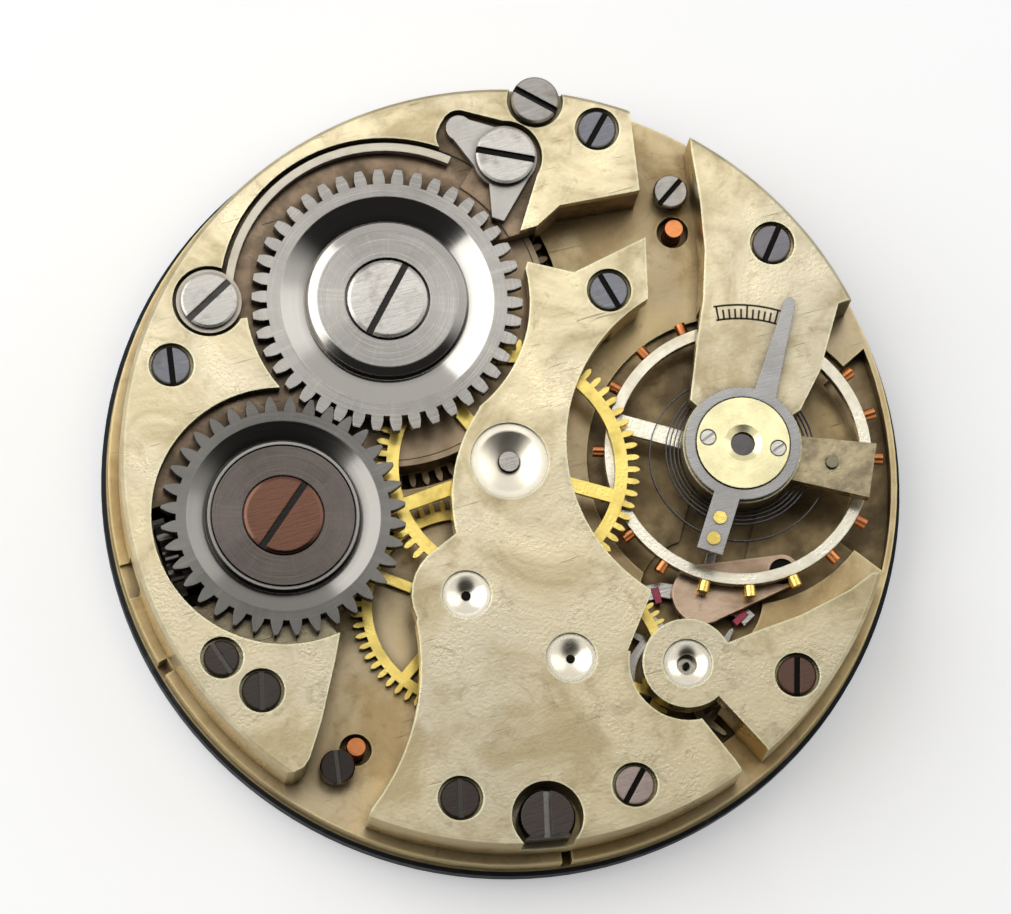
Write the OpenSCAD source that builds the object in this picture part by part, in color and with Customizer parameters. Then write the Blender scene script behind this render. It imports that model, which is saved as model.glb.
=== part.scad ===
// Pocket watch movement, seen from its bridge side (+Z). The stem enters along -X, six o'clock is -Y.

/* [Plate and dial] */
// Diameter of the plate's flange, the widest part
flange_d = 39.8; // [39.5:0.1:40.4]
// How far the flange stands out from the plate's body, which slides into the case
flange_lip = 0.3; // [0.25:0.05:0.4]
// Thickness of the flange
flange_t = 0.8; // [0.6:0.05:1.0]
// Thickness of the plate
plate_t = 2.1; // [2.05:0.01:2.15]
// How far the dial stays inside the flange
dial_inset = 0.2; // [0.1:0.05:0.4]
// Thickness of the dial
dial_t = 0.9; // [0.85:0.05:0.95]
// Depth of the sunk centre and seconds faces of the dial
dial_sink = 0.4; // [0.3:0.05:0.5]

/* [Bridges] */
// How far the bridges stay inside the plate's body
bridge_inset = 0.5; // [0.45:0.05:0.6]
// Height of the bridges above the plate
bridge_h = 3.2; // [3.15:0.01:3.25]
// Thickness of the bridges over the train
web_t = 1.2; // [1.15:0.01:1.25]
// Bevel round the outer edge of the bridges
bevel = 0.2; // [0.15:0.05:0.4]

/* [Winding work] */
// Teeth of the ratchet wheel
ratchet_z = 42; // [42:1:42]
// Teeth of the crown wheel
crown_z = 36; // [36:1:36]
// Teeth of the winding pinion
wind_pinion_z = 14; // [14:1:14]
// Thickness of the ratchet and crown wheels
steel_wheel_t = 0.6; // [0.5:0.05:0.6]
// Radius of the hole for the stem
stem_r = 0.75; // [0.65:0.05:0.75]

/* [Going train] */
// Teeth of the barrel
barrel_z = 78; // [78:1:78]
// Leaves of the centre pinion
centre_pinion_z = 14; // [14:1:14]
// Teeth of the centre wheel
centre_z = 64; // [64:1:64]
// Leaves of the third pinion
third_pinion_z = 8; // [8:1:8]
// Teeth of the third wheel
third_z = 60; // [60:1:60]
// Leaves of the fourth pinion
fourth_pinion_z = 8; // [8:1:8]
// Teeth of the fourth wheel
fourth_z = 70; // [70:1:70]
// Leaves of the escape pinion
escape_pinion_z = 7; // [7:1:7]
// Teeth of the escape wheel
escape_z = 15; // [15:1:15]
// Thickness of the brass wheels
wheel_t = 0.22; // [0.18:0.01:0.25]
// Outer radius of the barrel drum
drum_r = 8.1; // [8.0:0.05:8.15]
// Wall of the barrel drum
drum_wall = 0.3; // [0.25:0.05:0.4]

/* [Balance] */
// Outer radius of the balance rim
rim_r = 6.65; // [6.5:0.05:6.7]
// Radial width of the balance rim
rim_w = 0.55; // [0.5:0.05:0.75]
// Height of the balance rim
rim_h = 0.6; // [0.5:0.05:0.62]
// Screws in the balance rim
balance_screw_n = 18; // [10:2:20]
// Radius of the hairspring's outer arc, from its stud past the curb pins
hair_r = 4.53; // [4.48:0.01:4.58]
// Radial step of one hairspring coil
hair_step = 0.53; // [0.52:0.01:0.58]
// Thickness of the hairspring strip
hair_t = 0.09; // [0.07:0.01:0.1]

/* [Motion work] */
// Leaves of the cannon pinion
cannon_z = 12; // [12:1:12]
// Teeth of the minute wheel
minute_z = 36; // [36:1:36]
// Leaves of the minute pinion
minute_pinion_z = 10; // [10:1:10]
// Teeth of the hour wheel
hour_z = 40; // [40:1:40]
// Teeth of the setting wheel
setting_z = 24; // [24:1:24]
// Distance from the centre to the minute wheel
minute_dist = 3.9; // [3.85:0.01:3.95]

/* [Screws and fits] */
// Head radius of a bridge screw
screw_head_r = 0.96; // [0.85:0.01:1.0]
// Shank radius of a bridge screw
screw_shank_r = 0.5; // [0.4:0.02:0.54]
// Width of the slot in the larger screws
slot_width = 0.34; // [0.28:0.02:0.4]
// Radial clearance of a pivot in its hole
run_fit = 0.04; // [0.03:0.005:0.05]
// Radial clearance of a fixed pin or screw in its hole
pin_fit = 0.03; // [0.02:0.005:0.04]
// Gap between neighbouring parts that pass each other
gap = 0.1; // [0.06:0.01:0.12]

/* [Hidden] */
$fn = 72;

// Radii of the plate, bridges and dial
flange_r = flange_d / 2;
body_r = flange_r - flange_lip;
bridge_r = body_r - bridge_inset;
dial_r = flange_r - dial_inset;

// Heights: dial face at 0, then plate, bridges and wheels
plate_z = dial_t;
top_z = plate_z + plate_t;
bridge_z = top_z + bridge_h;
web_z = bridge_z - web_t;
through = 20;
work_depth = 0.8;
work_z = plate_z + work_depth;
barrel_floor = top_z - 0.95;
escape_floor = top_z - 0.6;
balance_floor = top_z - 0.45;
recess_z = bridge_z - 0.7;
steel_z = recess_z + 0.05;
steel_top = steel_z + steel_wheel_t;
stem_z = steel_z - 2.0;

// Axes of the wheels, seen from the bridge side
barrel_at = [-3.4, 9.5];
crown_at = [-11.47, 0.4];
third_at = [-4.0, -5.87];
fourth_at = [0, -10.3];
escape_at = [5.4, -12.15];
balance_at = [11.3, -2.4];
pallet_from_escape = 4.2;
line_of_escape = (balance_at - escape_at) / norm(balance_at - escape_at);
pallet_at = escape_at + pallet_from_escape * line_of_escape;
minute_at = minute_dist * [cos(190), sin(190)];
click_at = [4.36, 14.95];
spring_eye_at = [-11.9, 11.8];
lever_at = [-16.4, -5.6];
yoke_at = [-12.5, -5.5];

// Places of the screws and dial feet, most of them at a depth inside the bridges' edge
function inside(depth, turn) = (bridge_r - depth) * [cos(turn), sin(turn)];
barrel_bridge_screw_at = [inside(1.45, 58.6), inside(1.85, 147.8), inside(2.25, 207.2)];
train_bridge_screw_at = [[7.3, 6.95], inside(2, 244.9), inside(1.85, 273.7)];
escape_screw_at = inside(1.5, -53.8);
balance_screw_at = inside(1.75, 24);
pallet_screw_at = pallet_at + [4.15, 0];
cock_screw_at = [escape_screw_at, balance_screw_at];
case_screw_at = [inside(0.57, 69), inside(1.25, 258.9)];
dial_foot_at = [inside(3.82, 39.4), inside(3.33, 225.3)];
dial_screw_at = [inside(2.37, 43.4), inside(1.95, 224.2)];

// Gear modules, from the distances between the axes
winding_m = 2 * norm(barrel_at - crown_at) / (ratchet_z + crown_z);
barrel_m = 2 * norm(barrel_at) / (barrel_z + centre_pinion_z);
centre_m = 2 * norm(third_at) / (centre_z + third_pinion_z);
third_m = 2 * norm(fourth_at - third_at) / (third_z + fourth_pinion_z);
fourth_m = 2 * norm(escape_at - fourth_at) / (fourth_z + escape_pinion_z);
minute_m = 2 * minute_dist / (cannon_z + minute_z);
hour_m = 2 * minute_dist / (minute_pinion_z + hour_z);
setting_dist = minute_m * (minute_z + setting_z) / 2;
setting_at = minute_at + setting_dist * [cos(181), sin(181)];

// Tooth forms in modules: thickness, addendum and dedendum
wheel_form = [1.52, 1.3, 1.7];
leaf_form = [1.02, 0.62, 1.75];
even_form = [1.2, 0.85, 1.6];

// Heights of the going train
drum_z = barrel_floor + gap;
drum_h = 2.3;
drum_top = drum_z + drum_h;
drum_floor = 0.3;
tooth_h = 0.7;
centre_wheel_z = drum_top + 0.15;
third_wheel_z = top_z + 0.15;
fourth_wheel_z = third_wheel_z + 0.7;
escape_wheel_z = escape_floor + 0.3;
leaf_over = 0.2;
rim_z = fourth_wheel_z;
arm_t = 0.25;
hair_z = rim_z + rim_h + 0.15;
hair_h = 0.25;
hair_arc = 0.4;
hair_rise = 0.35;
hair_drop = 0.95;
roller_z = escape_wheel_z + wheel_t + gap;
ratchet_tip = winding_m * ratchet_z / 2 + 0.15;
crown_tip = winding_m * crown_z / 2 + 0.4;
ratchet_root = winding_m * ratchet_z / 2 - 0.6;
crown_root = winding_m * crown_z / 2 - 0.35;
barrel_tip = barrel_m * (barrel_z / 2 + wheel_form[1]);
centre_tip = centre_m * (centre_z / 2 + wheel_form[1]);
third_tip = third_m * (third_z / 2 + wheel_form[1]);
fourth_tip = fourth_m * (fourth_z / 2 + wheel_form[1]);
escape_r = pallet_from_escape * cos(30);
balance_reach = rim_r + 0.75;

// Direction from one axis to another, and the turn that brings a second gear into mesh with a first
function heading(a, b) = atan2(b[1] - a[1], b[0] - a[0]);
function mesh_turn(turn, teeth, dir, other) = dir + 180 - ((turn - dir) * teeth + 180) / other;
function polar(r, a) = r * [cos(a), sin(a)];

crown_turn = mesh_turn(0, ratchet_z, heading(barrel_at, crown_at), crown_z);
centre_pinion_turn = mesh_turn(0, barrel_z, heading(barrel_at, [0, 0]), centre_pinion_z);
third_pinion_turn = mesh_turn(0, centre_z, heading([0, 0], third_at), third_pinion_z);
fourth_pinion_turn = mesh_turn(0, third_z, heading(third_at, fourth_at), fourth_pinion_z);
escape_pinion_turn = mesh_turn(0, fourth_z, heading(fourth_at, escape_at), escape_pinion_z);
minute_turn = mesh_turn(0, cannon_z, heading([0, 0], minute_at), minute_z);
hour_turn = mesh_turn(0, minute_pinion_z, heading(minute_at, [0, 0]), hour_z);
setting_turn = mesh_turn(minute_turn, minute_z, heading(minute_at, setting_at), setting_z);
// Crown wheel gap nearest the stem, and the winding pinion's turn that stands a tooth in it
crown_pitch = 360 / crown_z;
stem_side = 180 + asin(crown_at[1] / (winding_m * crown_z / 2));
stem_gap = ((crown_turn + crown_pitch / 2 - stem_side) % crown_pitch + crown_pitch) % crown_pitch;
stem_gap_near = stem_gap > crown_pitch / 2 ? stem_gap - crown_pitch : stem_gap;
wind_pinion_turn = 90 + stem_gap_near * crown_z / wind_pinion_z;

// Points of an arc from a through b to c
function cross2(u, v) = u[0] * v[1] - u[1] * v[0];
function centre_of(a, b, c) = let (u = b - a, v = c - a, d = 2 * cross2(u, v))
    a + [v[1] * (u * u) - u[1] * (v * v), u[0] * (v * v) - v[0] * (u * u)] / d;
function wrap(t) = (t % 360 + 360) % 360;
function arc(a, b, c, n = 10) = let (
    o = centre_of(a, b, c),
    side = sign(cross2(b - a, c - b)),
    first = heading(o, a),
    sweep = side * wrap(side * (heading(o, c) - first)))
    [for (i = [0:n]) o + polar(norm(a - o), first + sweep * i / n)];

// Toothed outline: straight radial flanks below the pitch circle, a rounded tip above it
function gear(teeth, m, form, turn = 0) = let (
    pitch_r = m * teeth / 2,
    half = form[0] * m / pitch_r * 90 / PI,
    steps = [[-form[2], -1], [0, -1], [0.6 * form[1], -0.7], [form[1], -0.2],
        [form[1], 0.2], [0.6 * form[1], 0.7], [0, 1], [-form[2], 1]])
    [for (i = [0:teeth - 1], s = steps) polar(pitch_r + s[0] * m, turn + i * 360 / teeth + s[1] * half)];

// Involute outline at a 20 degree pressure angle, between a root and a tip radius
pressure = 20;
function inv(a) = tan(a) - a * PI / 180;
function flank_half(r, pitch_r, thick) = let (base_r = pitch_r * cos(pressure))
    (thick / 2 / pitch_r + inv(pressure) - (r > base_r ? inv(acos(base_r / r)) : 0)) * 180 / PI;
function involute(teeth, m, thick, root, tip, turn = 0) = let (
    pitch_r = m * teeth / 2,
    radii = [for (k = [0:5]) root + (tip - root) * k / 5])
    [for (i = [0:teeth - 1], k = [0:11]) let (r = radii[k < 6 ? k : 11 - k], side = k < 6 ? -1 : 1)
        polar(r, turn + i * 360 / teeth + side * flank_half(r, pitch_r, thick))];

// Line of a flat spiral, from its inner to its outer end
function spiral(r_out, step, turns, end_turn, n) =
    [for (i = [0:n]) polar(r_out - step * turns * (1 - i / n), end_turn - 360 * turns * (1 - i / n))];
function back(list) = [for (i = [len(list) - 1:-1:0]) list[i]];

// Solid from one or more outlines, between two heights
module slab(z0, z1) {
    translate([0, 0, z0]) for (i = [0:1:$children - 1]) linear_extrude(z1 - z0) children(i);
}

// Round bar between two heights
module bar(r, z0, z1) {
    translate([0, 0, z0]) cylinder(r = r, h = z1 - z0);
}

module at(p) {
    translate([p[0], p[1], 0]) children();
}

// Bar along the stem, between two distances along X
module stem_bar(r, x0, x1) {
    translate([x0, 0, stem_z]) rotate([0, 90, 0]) cylinder(r = r, h = x1 - x0);
}

// Slotted screw with its seat at z, its head above and its shank below
module screw(z, head_r, head_h, shank_r, shank_l, turn = 0) {
    slot_w = min(slot_width, 0.3 * head_r);
    slot_d = 0.4 * head_h;
    difference() {
        union() {
            bar(head_r, z, z + 0.8 * head_h);
            translate([0, 0, z + 0.8 * head_h]) cylinder(r1 = head_r, r2 = 0.92 * head_r, h = 0.2 * head_h);
            bar(shank_r, z - shank_l, z + 0.1);
        }
        rotate(turn) translate([-2 * head_r, -slot_w / 2, z + head_h - slot_d])
            cube([4 * head_r, slot_w, through]);
    }
}

// Space for a sunk screw: counterbore from z up, hole below
module screw_hole(z, head_r, shank_r) {
    bar(head_r, z, through);
    bar(shank_r + pin_fit, -1, through);
}

// Arms and rim of a brass wheel cut from a toothed outline
module crossed_wheel(points, rim, hub, arm_w, arms, turn, bore) {
    difference() {
        polygon(points);
        difference() {
            circle(rim);
            circle(hub);
            for (i = [0:arms - 1]) rotate(turn + i * 360 / arms) translate([0, -arm_w / 2])
                square([rim + 1, arm_w]);
        }
        circle(bore);
    }
}

// Body that rounds the outer edge of the bridges with a bevel
module bridge_round() {
    bar(bridge_r, top_z, bridge_z - bevel);
    translate([0, 0, bridge_z - bevel]) cylinder(r1 = bridge_r, r2 = bridge_r - bevel, h = bevel);
}

module bridge_block() {
    intersection() {
        for (i = [0:1:$children - 1]) slab(top_z, bridge_z) children(i);
        bridge_round();
    }
}

// Oil sink round a pivot hole in the top of a bridge: a shallow step and a round bowl in it
module sink(p, r, pivot_r) {
    step = 0.14;
    bowl_r = 0.8 * r;
    bowl_d = 0.32;
    ball_r = (bowl_r * bowl_r + bowl_d * bowl_d) / 2 / bowl_d;
    at(p) {
        bar(r, bridge_z - step, through);
        translate([0, 0, bridge_z - step - bowl_d + ball_r]) sphere(ball_r);
        bar(pivot_r + run_fit, web_z - 1, through);
    }
}

screw_seat = bridge_z - 0.4;
screw_head_h = 0.36;
screw_sink_r = screw_head_r + 0.15;
screw_shank_l = 3.6;
case_shank_r = 0.5;
spring_r = 7.85;
spring_w = 0.4;
click_z = steel_z + 0.1;
click_t = 0.45;

// Main plate

module train_recesses() {
    at(barrel_at) bar(max(barrel_tip, drum_r) + gap, barrel_floor, through);
    bar(barrel_m * (centre_pinion_z / 2 + leaf_form[1]) + 2 * gap, barrel_floor, through);
    slab(escape_floor, through) escapement_outline();
    at(balance_at) bar(balance_reach, balance_floor, through);
    slab(edge_well_z, through) difference() {
        intersection() {
            circle(body_r - edge_wall);
            polygon([balance_at, polar(25, 9), polar(25, -12), polar(25, -36)]);
        }
        translate(balance_at) circle(rim_r - rim_w);
    }
}

// Deep well between the balance and the plate's edge, and the wall left outside it
edge_well_z = plate_z + flange_t + 0.1;
edge_wall = 0.3;

module escapement_outline() {
    translate(escape_at) circle(escape_r + 0.25);
    translate(pallet_at) circle(fork_span + 0.25);
    translate(balance_at) circle(2.45);
    translate(pallet_at) rotate(heading(pallet_at, balance_at)) translate([0, -1.7]) square([6, 3.4]);
}

module pivot_holes() {
    bar(centre_bear_r + run_fit, -1, through);
    at(third_at) bar(third_pivot_r + run_fit, top_z - 0.75, through);
    at(fourth_at) bar(seconds_r + run_fit, -1, through);
    at(fourth_at) bar(0.6, top_z - 0.55, through);
    at(escape_at) bar(escape_pivot_r + run_fit, escape_floor - 0.5, through);
    at(pallet_at) bar(pallet_pivot_r + run_fit, escape_floor - 0.5, through);
    at(balance_at) bar(jewel_r + pin_fit, jewel_low_z, through);
    at(barrel_at) bar(barrel_pivot_r + run_fit, barrel_floor - 0.85, through);
}

centre_bear_r = 0.55;
third_pivot_r = 0.2;
seconds_r = 0.16;
escape_pivot_r = 0.14;
pallet_pivot_r = 0.13;
barrel_pivot_r = 0.9;
jewel_r = 0.73;
jewel_low_z = plate_z + 0.4;

module dial_side_recesses() {
    slab(-1, work_z) circle(hour_m * (hour_z / 2 + wheel_form[1]) + 0.3);
    at(minute_at) slab(-1, work_z) circle(minute_m * (minute_z / 2 + wheel_form[1]) + 0.15);
    at(setting_at) slab(-1, setting_z1 + 0.12) circle(minute_m * (setting_z / 2 + even_form[1]) + 0.12);
    slab(-1, keyless_z) polygon([[-19.5, -0.2], [-19.5, -2.2], [-18.4, -6.9], [-11.2, -7.4], [-8.6, -6.4],
        [-8.6, -3.9], [-11.6, -2.5], [-12.2, 1], [-15.2, 1], [-15.2, -2.5], [-17.6, -2.5], [-17.6, -0.2]]);
    slab(-1, stem_z - 0.9) translate([-14.35, -0.75]) square([2.1, 1.5]);
}

keyless_z = plate_z + 0.7;
setting_z0 = plate_z + 0.35;
setting_z1 = plate_z + 1.25;
wind_pinion_x = [-17.62, -16.95, -15.35];
clutch_x = [-15.0, -12.2];
clutch_r = 1.6;
clutch_travel = 0.9;
dog_l = 0.32;
pinion_pocket = 2.65;
stem_notch = 1.75;
stem_notch_depth = 0.9;

module winding_pockets() {
    slot_x = wind_pinion_x[0] - 0.15;
    slot_l = clutch_x[0] - 0.15 - slot_x;
    slab(-1, recess_z) translate([slot_x, -pinion_pocket]) square([slot_l, 2 * pinion_pocket]);
    stem_bar(clutch_r + 0.12, clutch_x[0] - 0.2, clutch_x[1] + dog_l + clutch_travel + 0.1);
    stem_bar(stem_r, -25, wind_pinion_x[0]);
    translate([-25, -stem_notch / 2, stem_z - stem_notch / 2])
        cube([25 - body_r + stem_notch_depth, stem_notch, stem_notch]);
}

module main_plate() {
    post_top = work_z + 0.1;
    color("#c9bb92") {
        difference() {
            union() {
                bar(flange_r, plate_z, plate_z + flange_t);
                bar(body_r, plate_z, top_z);
            }
            train_recesses();
            pivot_holes();
            dial_side_recesses();
            winding_pockets();
            for (p = concat(barrel_bridge_screw_at, train_bridge_screw_at, cock_screw_at)) at(p)
                bar(screw_shank_r + pin_fit, bridge_z - 0.5 - screw_shank_l, through);
            at(pallet_screw_at) bar(0.35 + pin_fit, top_z - 1, through);
            for (p = dial_foot_at) at(p) {
                bar(foot_r + pin_fit, -1, through);
                bar(foot_r + 0.35, top_z - 0.9, through);
            }
            for (p = dial_screw_at) at(p) bar(0.4 + pin_fit, top_z - 1, through);
            for (p = case_screw_at) at(p) bar(case_shank_r + pin_fit, plate_z + flange_t, through);
            at(lever_at) bar(lever_screw_r + run_fit, -1, through);
            for (n = rim_notches) rotate(n[0]) translate([body_r - n[1], -n[2] / 2, plate_z + flange_t])
                cube([3, n[2], through]);
        }
        at(minute_at) bar(0.4, plate_z + 0.05, post_top);
        at(setting_at) bar(0.45, setting_z0, setting_z1 + 0.3);
        at(yoke_at) bar(0.4, plate_z + 0.05, keyless_z + 0.1);
    }
}

// Notches in the plate's edge: turn, depth and width
rim_notches = [[-98, 1.2, 0.5], [193.8, 0.45, 0.7]];
foot_r = 0.45;
dial_screw_r = 0.86;
lever_screw_r = 0.42;

// Bridges and cocks

module barrel_bridge_outline() {
    polygon([[10.3, 11.45], [11.6, 18.5], [8, 26], [-26, 26], [-26, -11.3], [-15.7, -11.35], [-15.1, -11.85],
        [-14.6, -12], [-14.1, -11.9], [-13.7, -11.55], [-12.6, -9.9], [-11.1, -7.2], [-10.5, -6],
        [-11.5, -3], [-8, 2.5], [-5.5, 6], [0.5, 11],
        [4.85, 11.1], [6.25, 11.8]]);
    translate(barrel_at) circle(5.4);
    translate(crown_at) circle(5.1);
}

// Room for the click through its swing, and a way to the ratchet for its beak
module click_recess_outline() {
    room = 0.25;
    for (k = [0, 0.5, 1]) translate(click_at) rotate(k * click_swing) translate(-click_at) {
        translate(click_lobe) circle(0.65 + room);
        polygon([click_at + [-1.75, 0.1], click_lobe + [-0.8, 0], click_lobe + [0.4, 0.8],
            click_at + [0.6, 1.7]]);
    }
    translate(click_at) circle(1.6 + room);
    polygon([click_at + [1.75, -0.6], click_at + [-1.85, 0.3], click_at + [-4.2, -1.5],
        click_at + [-0.6, -4.2]]);
}

click_swing = 12;

module barrel_bridge() {
    color("#d8ceb0") difference() {
        bridge_block() barrel_bridge_outline();
        at(barrel_at) bar(drum_r + 0.3, -1, drum_top + 0.15);
        bar(centre_tip + 0.2, -1, web_z);
        at(third_at) bar(third_tip + 0.25, -1, fourth_wheel_z);
        winding_pockets();
        at(barrel_at) bar(ratchet_tip + 0.3, recess_z, through);
        at(barrel_at) slab(recess_z, through) intersection() {
            circle(spring_r + spring_w / 2 + 0.25);
            polygon([[0, 0], polar(30, 172), polar(30, 135), polar(30, 90), polar(30, 42)]);
        }
        at(crown_at) bar(crown_tip + 0.45, recess_z, through);
        at(barrel_at) bar(arbor_top_r + run_fit, -1, through);
        at(crown_at) bar(0.7 + pin_fit, recess_z - 0.18, through);
        slab(click_z - 0.05, through) click_recess_outline();
        at(click_at) bar(0.6 + pin_fit, top_z, through);
        at(spring_eye_at) bar(1.8, click_z - 0.05, through);
        at(spring_eye_at) bar(0.5 + pin_fit, top_z, through);
        for (p = barrel_bridge_screw_at) at(p) screw_hole(screw_seat, screw_sink_r, screw_shank_r);
        at(lever_at) screw_hole(screw_seat, 1.05, lever_screw_r + run_fit - pin_fit);
        at(case_screw_at[0]) screw_hole(screw_seat - 0.1, 1.4, case_shank_r);
    }
}

arbor_top_r = 1.3;

module train_bridge_outline() {
    lobe_r = 2.7;
    difference() {
        polygon(concat([[3.85, 9.45], [5.9, 8.3], [9.85, 9.05], [9.15, 6.4], [9, 5.9], [7, -2.4],
            [4.65, -8.4], [2.75, -10.75], [5.2, -12.15], [5.25, -15], [6.2, -17.4], [7, -20], [-14, -18]],
            arc([-11.55, -14.8], [-8.3, -11.2], [-6.75, -6.5]),
            [for (a = [190:-12:95]) third_at + polar(lobe_r, a)],
            arc([-3.6, -2.8], [-2.75, 0.3], [-0.7, 2.9]), [[1, 5.5]]));
        translate(balance_at) circle(8.7);
        translate(escape_at) circle(2.85);
        translate(barrel_at) circle(ratchet_tip + 0.35);
    }
}

module train_bridge() {
    color("#ddd3b4") difference() {
        bridge_block() train_bridge_outline();
        difference() {
            bar(norm(fourth_at) + fourth_tip + 0.2, -1, web_z);
            at(train_bridge_screw_at[0]) bar(1.75, -1, through);
        }
        sink([0, 0], 1.92, centre_pivot_r);
        sink(third_at, 1.2, third_pivot_r);
        sink(fourth_at, 1.23, fourth_pivot_r);
        for (p = train_bridge_screw_at) at(p) screw_hole(screw_seat, screw_sink_r, screw_shank_r);
        at(case_screw_at[1]) bar(1.75, top_z + 1.2, through);
        at(case_screw_at[1]) bar(case_shank_r + pin_fit, -1, through);
    }
}

centre_pivot_r = 0.5;
fourth_pivot_r = 0.18;

module escape_cock() {
    color("#d8ceb0") difference() {
        bridge_block() {
            translate(escape_at) circle(2.22);
            polygon([escape_at, [7.4, -11.75], [9.3, -11.55], [11.45, -11.4], [14.2, -10.85], [15.5, -10.35],
                [20, -11], [9.5, -21], [7.9, -17.3], [6.4, -14.2]]);
        }
        at(escape_at) bar(2.6, -1, web_z);
        at(escape_at) bar(escape_r + 0.25, -1, top_z + 0.3);
        sink(escape_at, 1.2, escape_pivot_r);
        at(escape_at) bar(0.5, web_z + 0.35, through);
        at(escape_screw_at) screw_hole(screw_seat, screw_sink_r, screw_shank_r);
    }
}

stud_turn = -26.5;
stud_at = balance_at + polar(hair_r, stud_turn);

module balance_cock() {
    arm_z = bridge_z - 0.3;
    color("#d8ceb0") {
        difference() {
            union() {
                bridge_block() {
                    polygon([[13.4, 12.7], [15, 20], [24, 12], [22, 3.4], [18.1, 3.2], [16.2, 0.2],
                        [14.6, -1.5], balance_at, [9.5, 0.5], [10.75, 3.3], [11.65, 5.2], [12.5, 7.6],
                        [13.05, 10.15]]);
                    translate(balance_at) circle(2.95);
                }
                slab(web_z + 0.1, arm_z) polygon([[14, -2.6], [17.8, -4.1], [16.6, -6.6], [13, -4.6]]);
            }
            at(balance_at) bar(balance_reach + 0.2, -1, web_z + 0.1);
            at(balance_at) bar(jewel_r + 0.1, -1, through);
            at(balance_screw_at) screw_hole(screw_seat, screw_sink_r, screw_shank_r);
            at(stud_at) bar(0.3 + pin_fit, -1, through);
            at(dial_foot_at[0]) bar(foot_r + gap, -1, through);
            at(dial_screw_at[0]) bar(dial_screw_r + gap, -1, through);
            for (s = [-1, 1]) at(balance_at + s * cap_screw_offset) bar(0.2 + pin_fit, web_z + 0.4, through);
        }
    }
}

cap_screw_offset = polar(1.75, -25);

module pallet_cock() {
    z0 = top_z + 0.2;
    z1 = top_z + 0.65;
    color("#d2b59a") difference() {
        union() {
            at(pallet_at) bar(1.5, z0, z1);
            at(pallet_screw_at) bar(0.85, balance_floor, z1);
            slab(z0, z1) polygon([pallet_at + [0, 1.5], pallet_screw_at + [0, 0.85],
                pallet_screw_at + [0, -0.85], pallet_at + [0, -1.5]]);
        }
        at(pallet_at) bar(pallet_pivot_r + run_fit, -1, through);
        at(pallet_screw_at) screw_hole(pallet_seat, 0.65, 0.35);
    }
}

pallet_seat = top_z + 0.4;

// Screws and fixings of the frame

module bridge_screw(p, turn) {
    at(p) screw(screw_seat, screw_head_r, screw_head_h, screw_shank_r, screw_shank_l, turn);
}

module barrel_bridge_screws() {
    turns = [45, 80, 75];
    color("#6a6a6e") for (i = [0:2]) bridge_screw(barrel_bridge_screw_at[i], turns[i]);
}

module train_bridge_screws() {
    turns = [-77, 75, 45];
    color("#5a5f6a") for (i = [0:2]) bridge_screw(train_bridge_screw_at[i], turns[i]);
}

module cock_screws() {
    color("#6a625c") {
        bridge_screw(escape_screw_at, 72);
        bridge_screw(balance_screw_at, 50);
        at(pallet_screw_at) screw(pallet_seat, 0.6, 0.28, 0.35, 1.3, 20);
    }
}

module case_screws() {
    flat_off = 0.9;
    color("#77767a") {
        at(case_screw_at[0]) screw(screw_seat - 0.1, 1.2, 0.75, case_shank_r, 3.2, -45);
        difference() {
            at(case_screw_at[1]) screw(top_z + 1.2, 1.4, 1.9, case_shank_r, 1.6, 75);
            rotate(heading([0, 0], case_screw_at[1]))
                translate([norm(case_screw_at[1]) + flat_off, -5, top_z]) cube([5, 10, through]);
        }
    }
}

hand_room = 0.7;

module dial() {
    color("#f2efe6") difference() {
        bar(dial_r, 0, dial_t);
        bar(6, -1, dial_sink);
        at(fourth_at) bar(4, -1, dial_sink);
        bar(pipe_r + hand_room, -1, through);
        at(fourth_at) bar(seconds_r + hand_room / 2, -1, through);
    }
}

module dial_feet() {
    color("#c66a32") for (p = dial_foot_at) at(p) bar(foot_r, dial_t, top_z + 0.75);
}

module dial_foot_screws() {
    turns = [33, 80];
    color("#5c5c60") for (i = [0:1]) at(dial_screw_at[i]) {
        bar(0.55, top_z, top_z + 0.6);
        screw(top_z + 0.6, dial_screw_r, 0.6, 0.4, 1.5, turns[i]);
    }
}

// Winding work

core_r = 3.0;
core_lip_r = 3.5;
ledge_z = steel_z + 0.25;
groove_d = 0.32;

// Sloping dish turned in the top face, from an outer radius down to a foot beside the hub
module dish(foot, outer) {
    floor_z = steel_top - groove_d;
    rotate_extrude() polygon([[foot - 0.2, steel_top + 0.2], [foot, floor_z], [outer, steel_top],
        [outer, steel_top + 0.2]]);
}

module ratchet_wheel() {
    color("#8d8b8c") at(barrel_at) difference() {
        union() {
            slab(steel_z, steel_top) polygon(involute(ratchet_z, winding_m, 0.45, ratchet_root, ratchet_tip));
            translate([0, 0, steel_top]) cylinder(r1 = 4.0, r2 = 3.45, h = 0.1);
        }
        dish(4.05, 5.3);
        bar(2.12, ratchet_seat, through);
        slab(-1, through) square(2 * square_r + 2 * pin_fit, center = true);
    }
}

ratchet_seat = steel_z + 0.3;
square_r = 0.8;

module ratchet_screw() {
    color("#9a968c") at(barrel_at) screw(ratchet_seat, 1.99, 0.48, 0.5, 0.9, 46);
}

module crown_wheel() {
    color("#7f7c7d") at(crown_at) difference() {
        slab(steel_z, steel_top)
            polygon(involute(crown_z, winding_m, 0.48, crown_root, crown_tip, crown_turn));
        dish(core_lip_r + 0.35, 4.78);
        bar(core_r + run_fit, -1, through);
        bar(core_lip_r + 0.08, ledge_z, through);
    }
}

module crown_core() {
    color("#6f6660") at(crown_at) difference() {
        union() {
            bar(core_r, recess_z, ledge_z + 0.05);
            bar(core_lip_r, ledge_z + 0.05, steel_top + 0.02);
        }
        bar(0.7 + pin_fit, -1, through);
        bar(2.03, steel_top - 0.2, through);
    }
}

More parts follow.
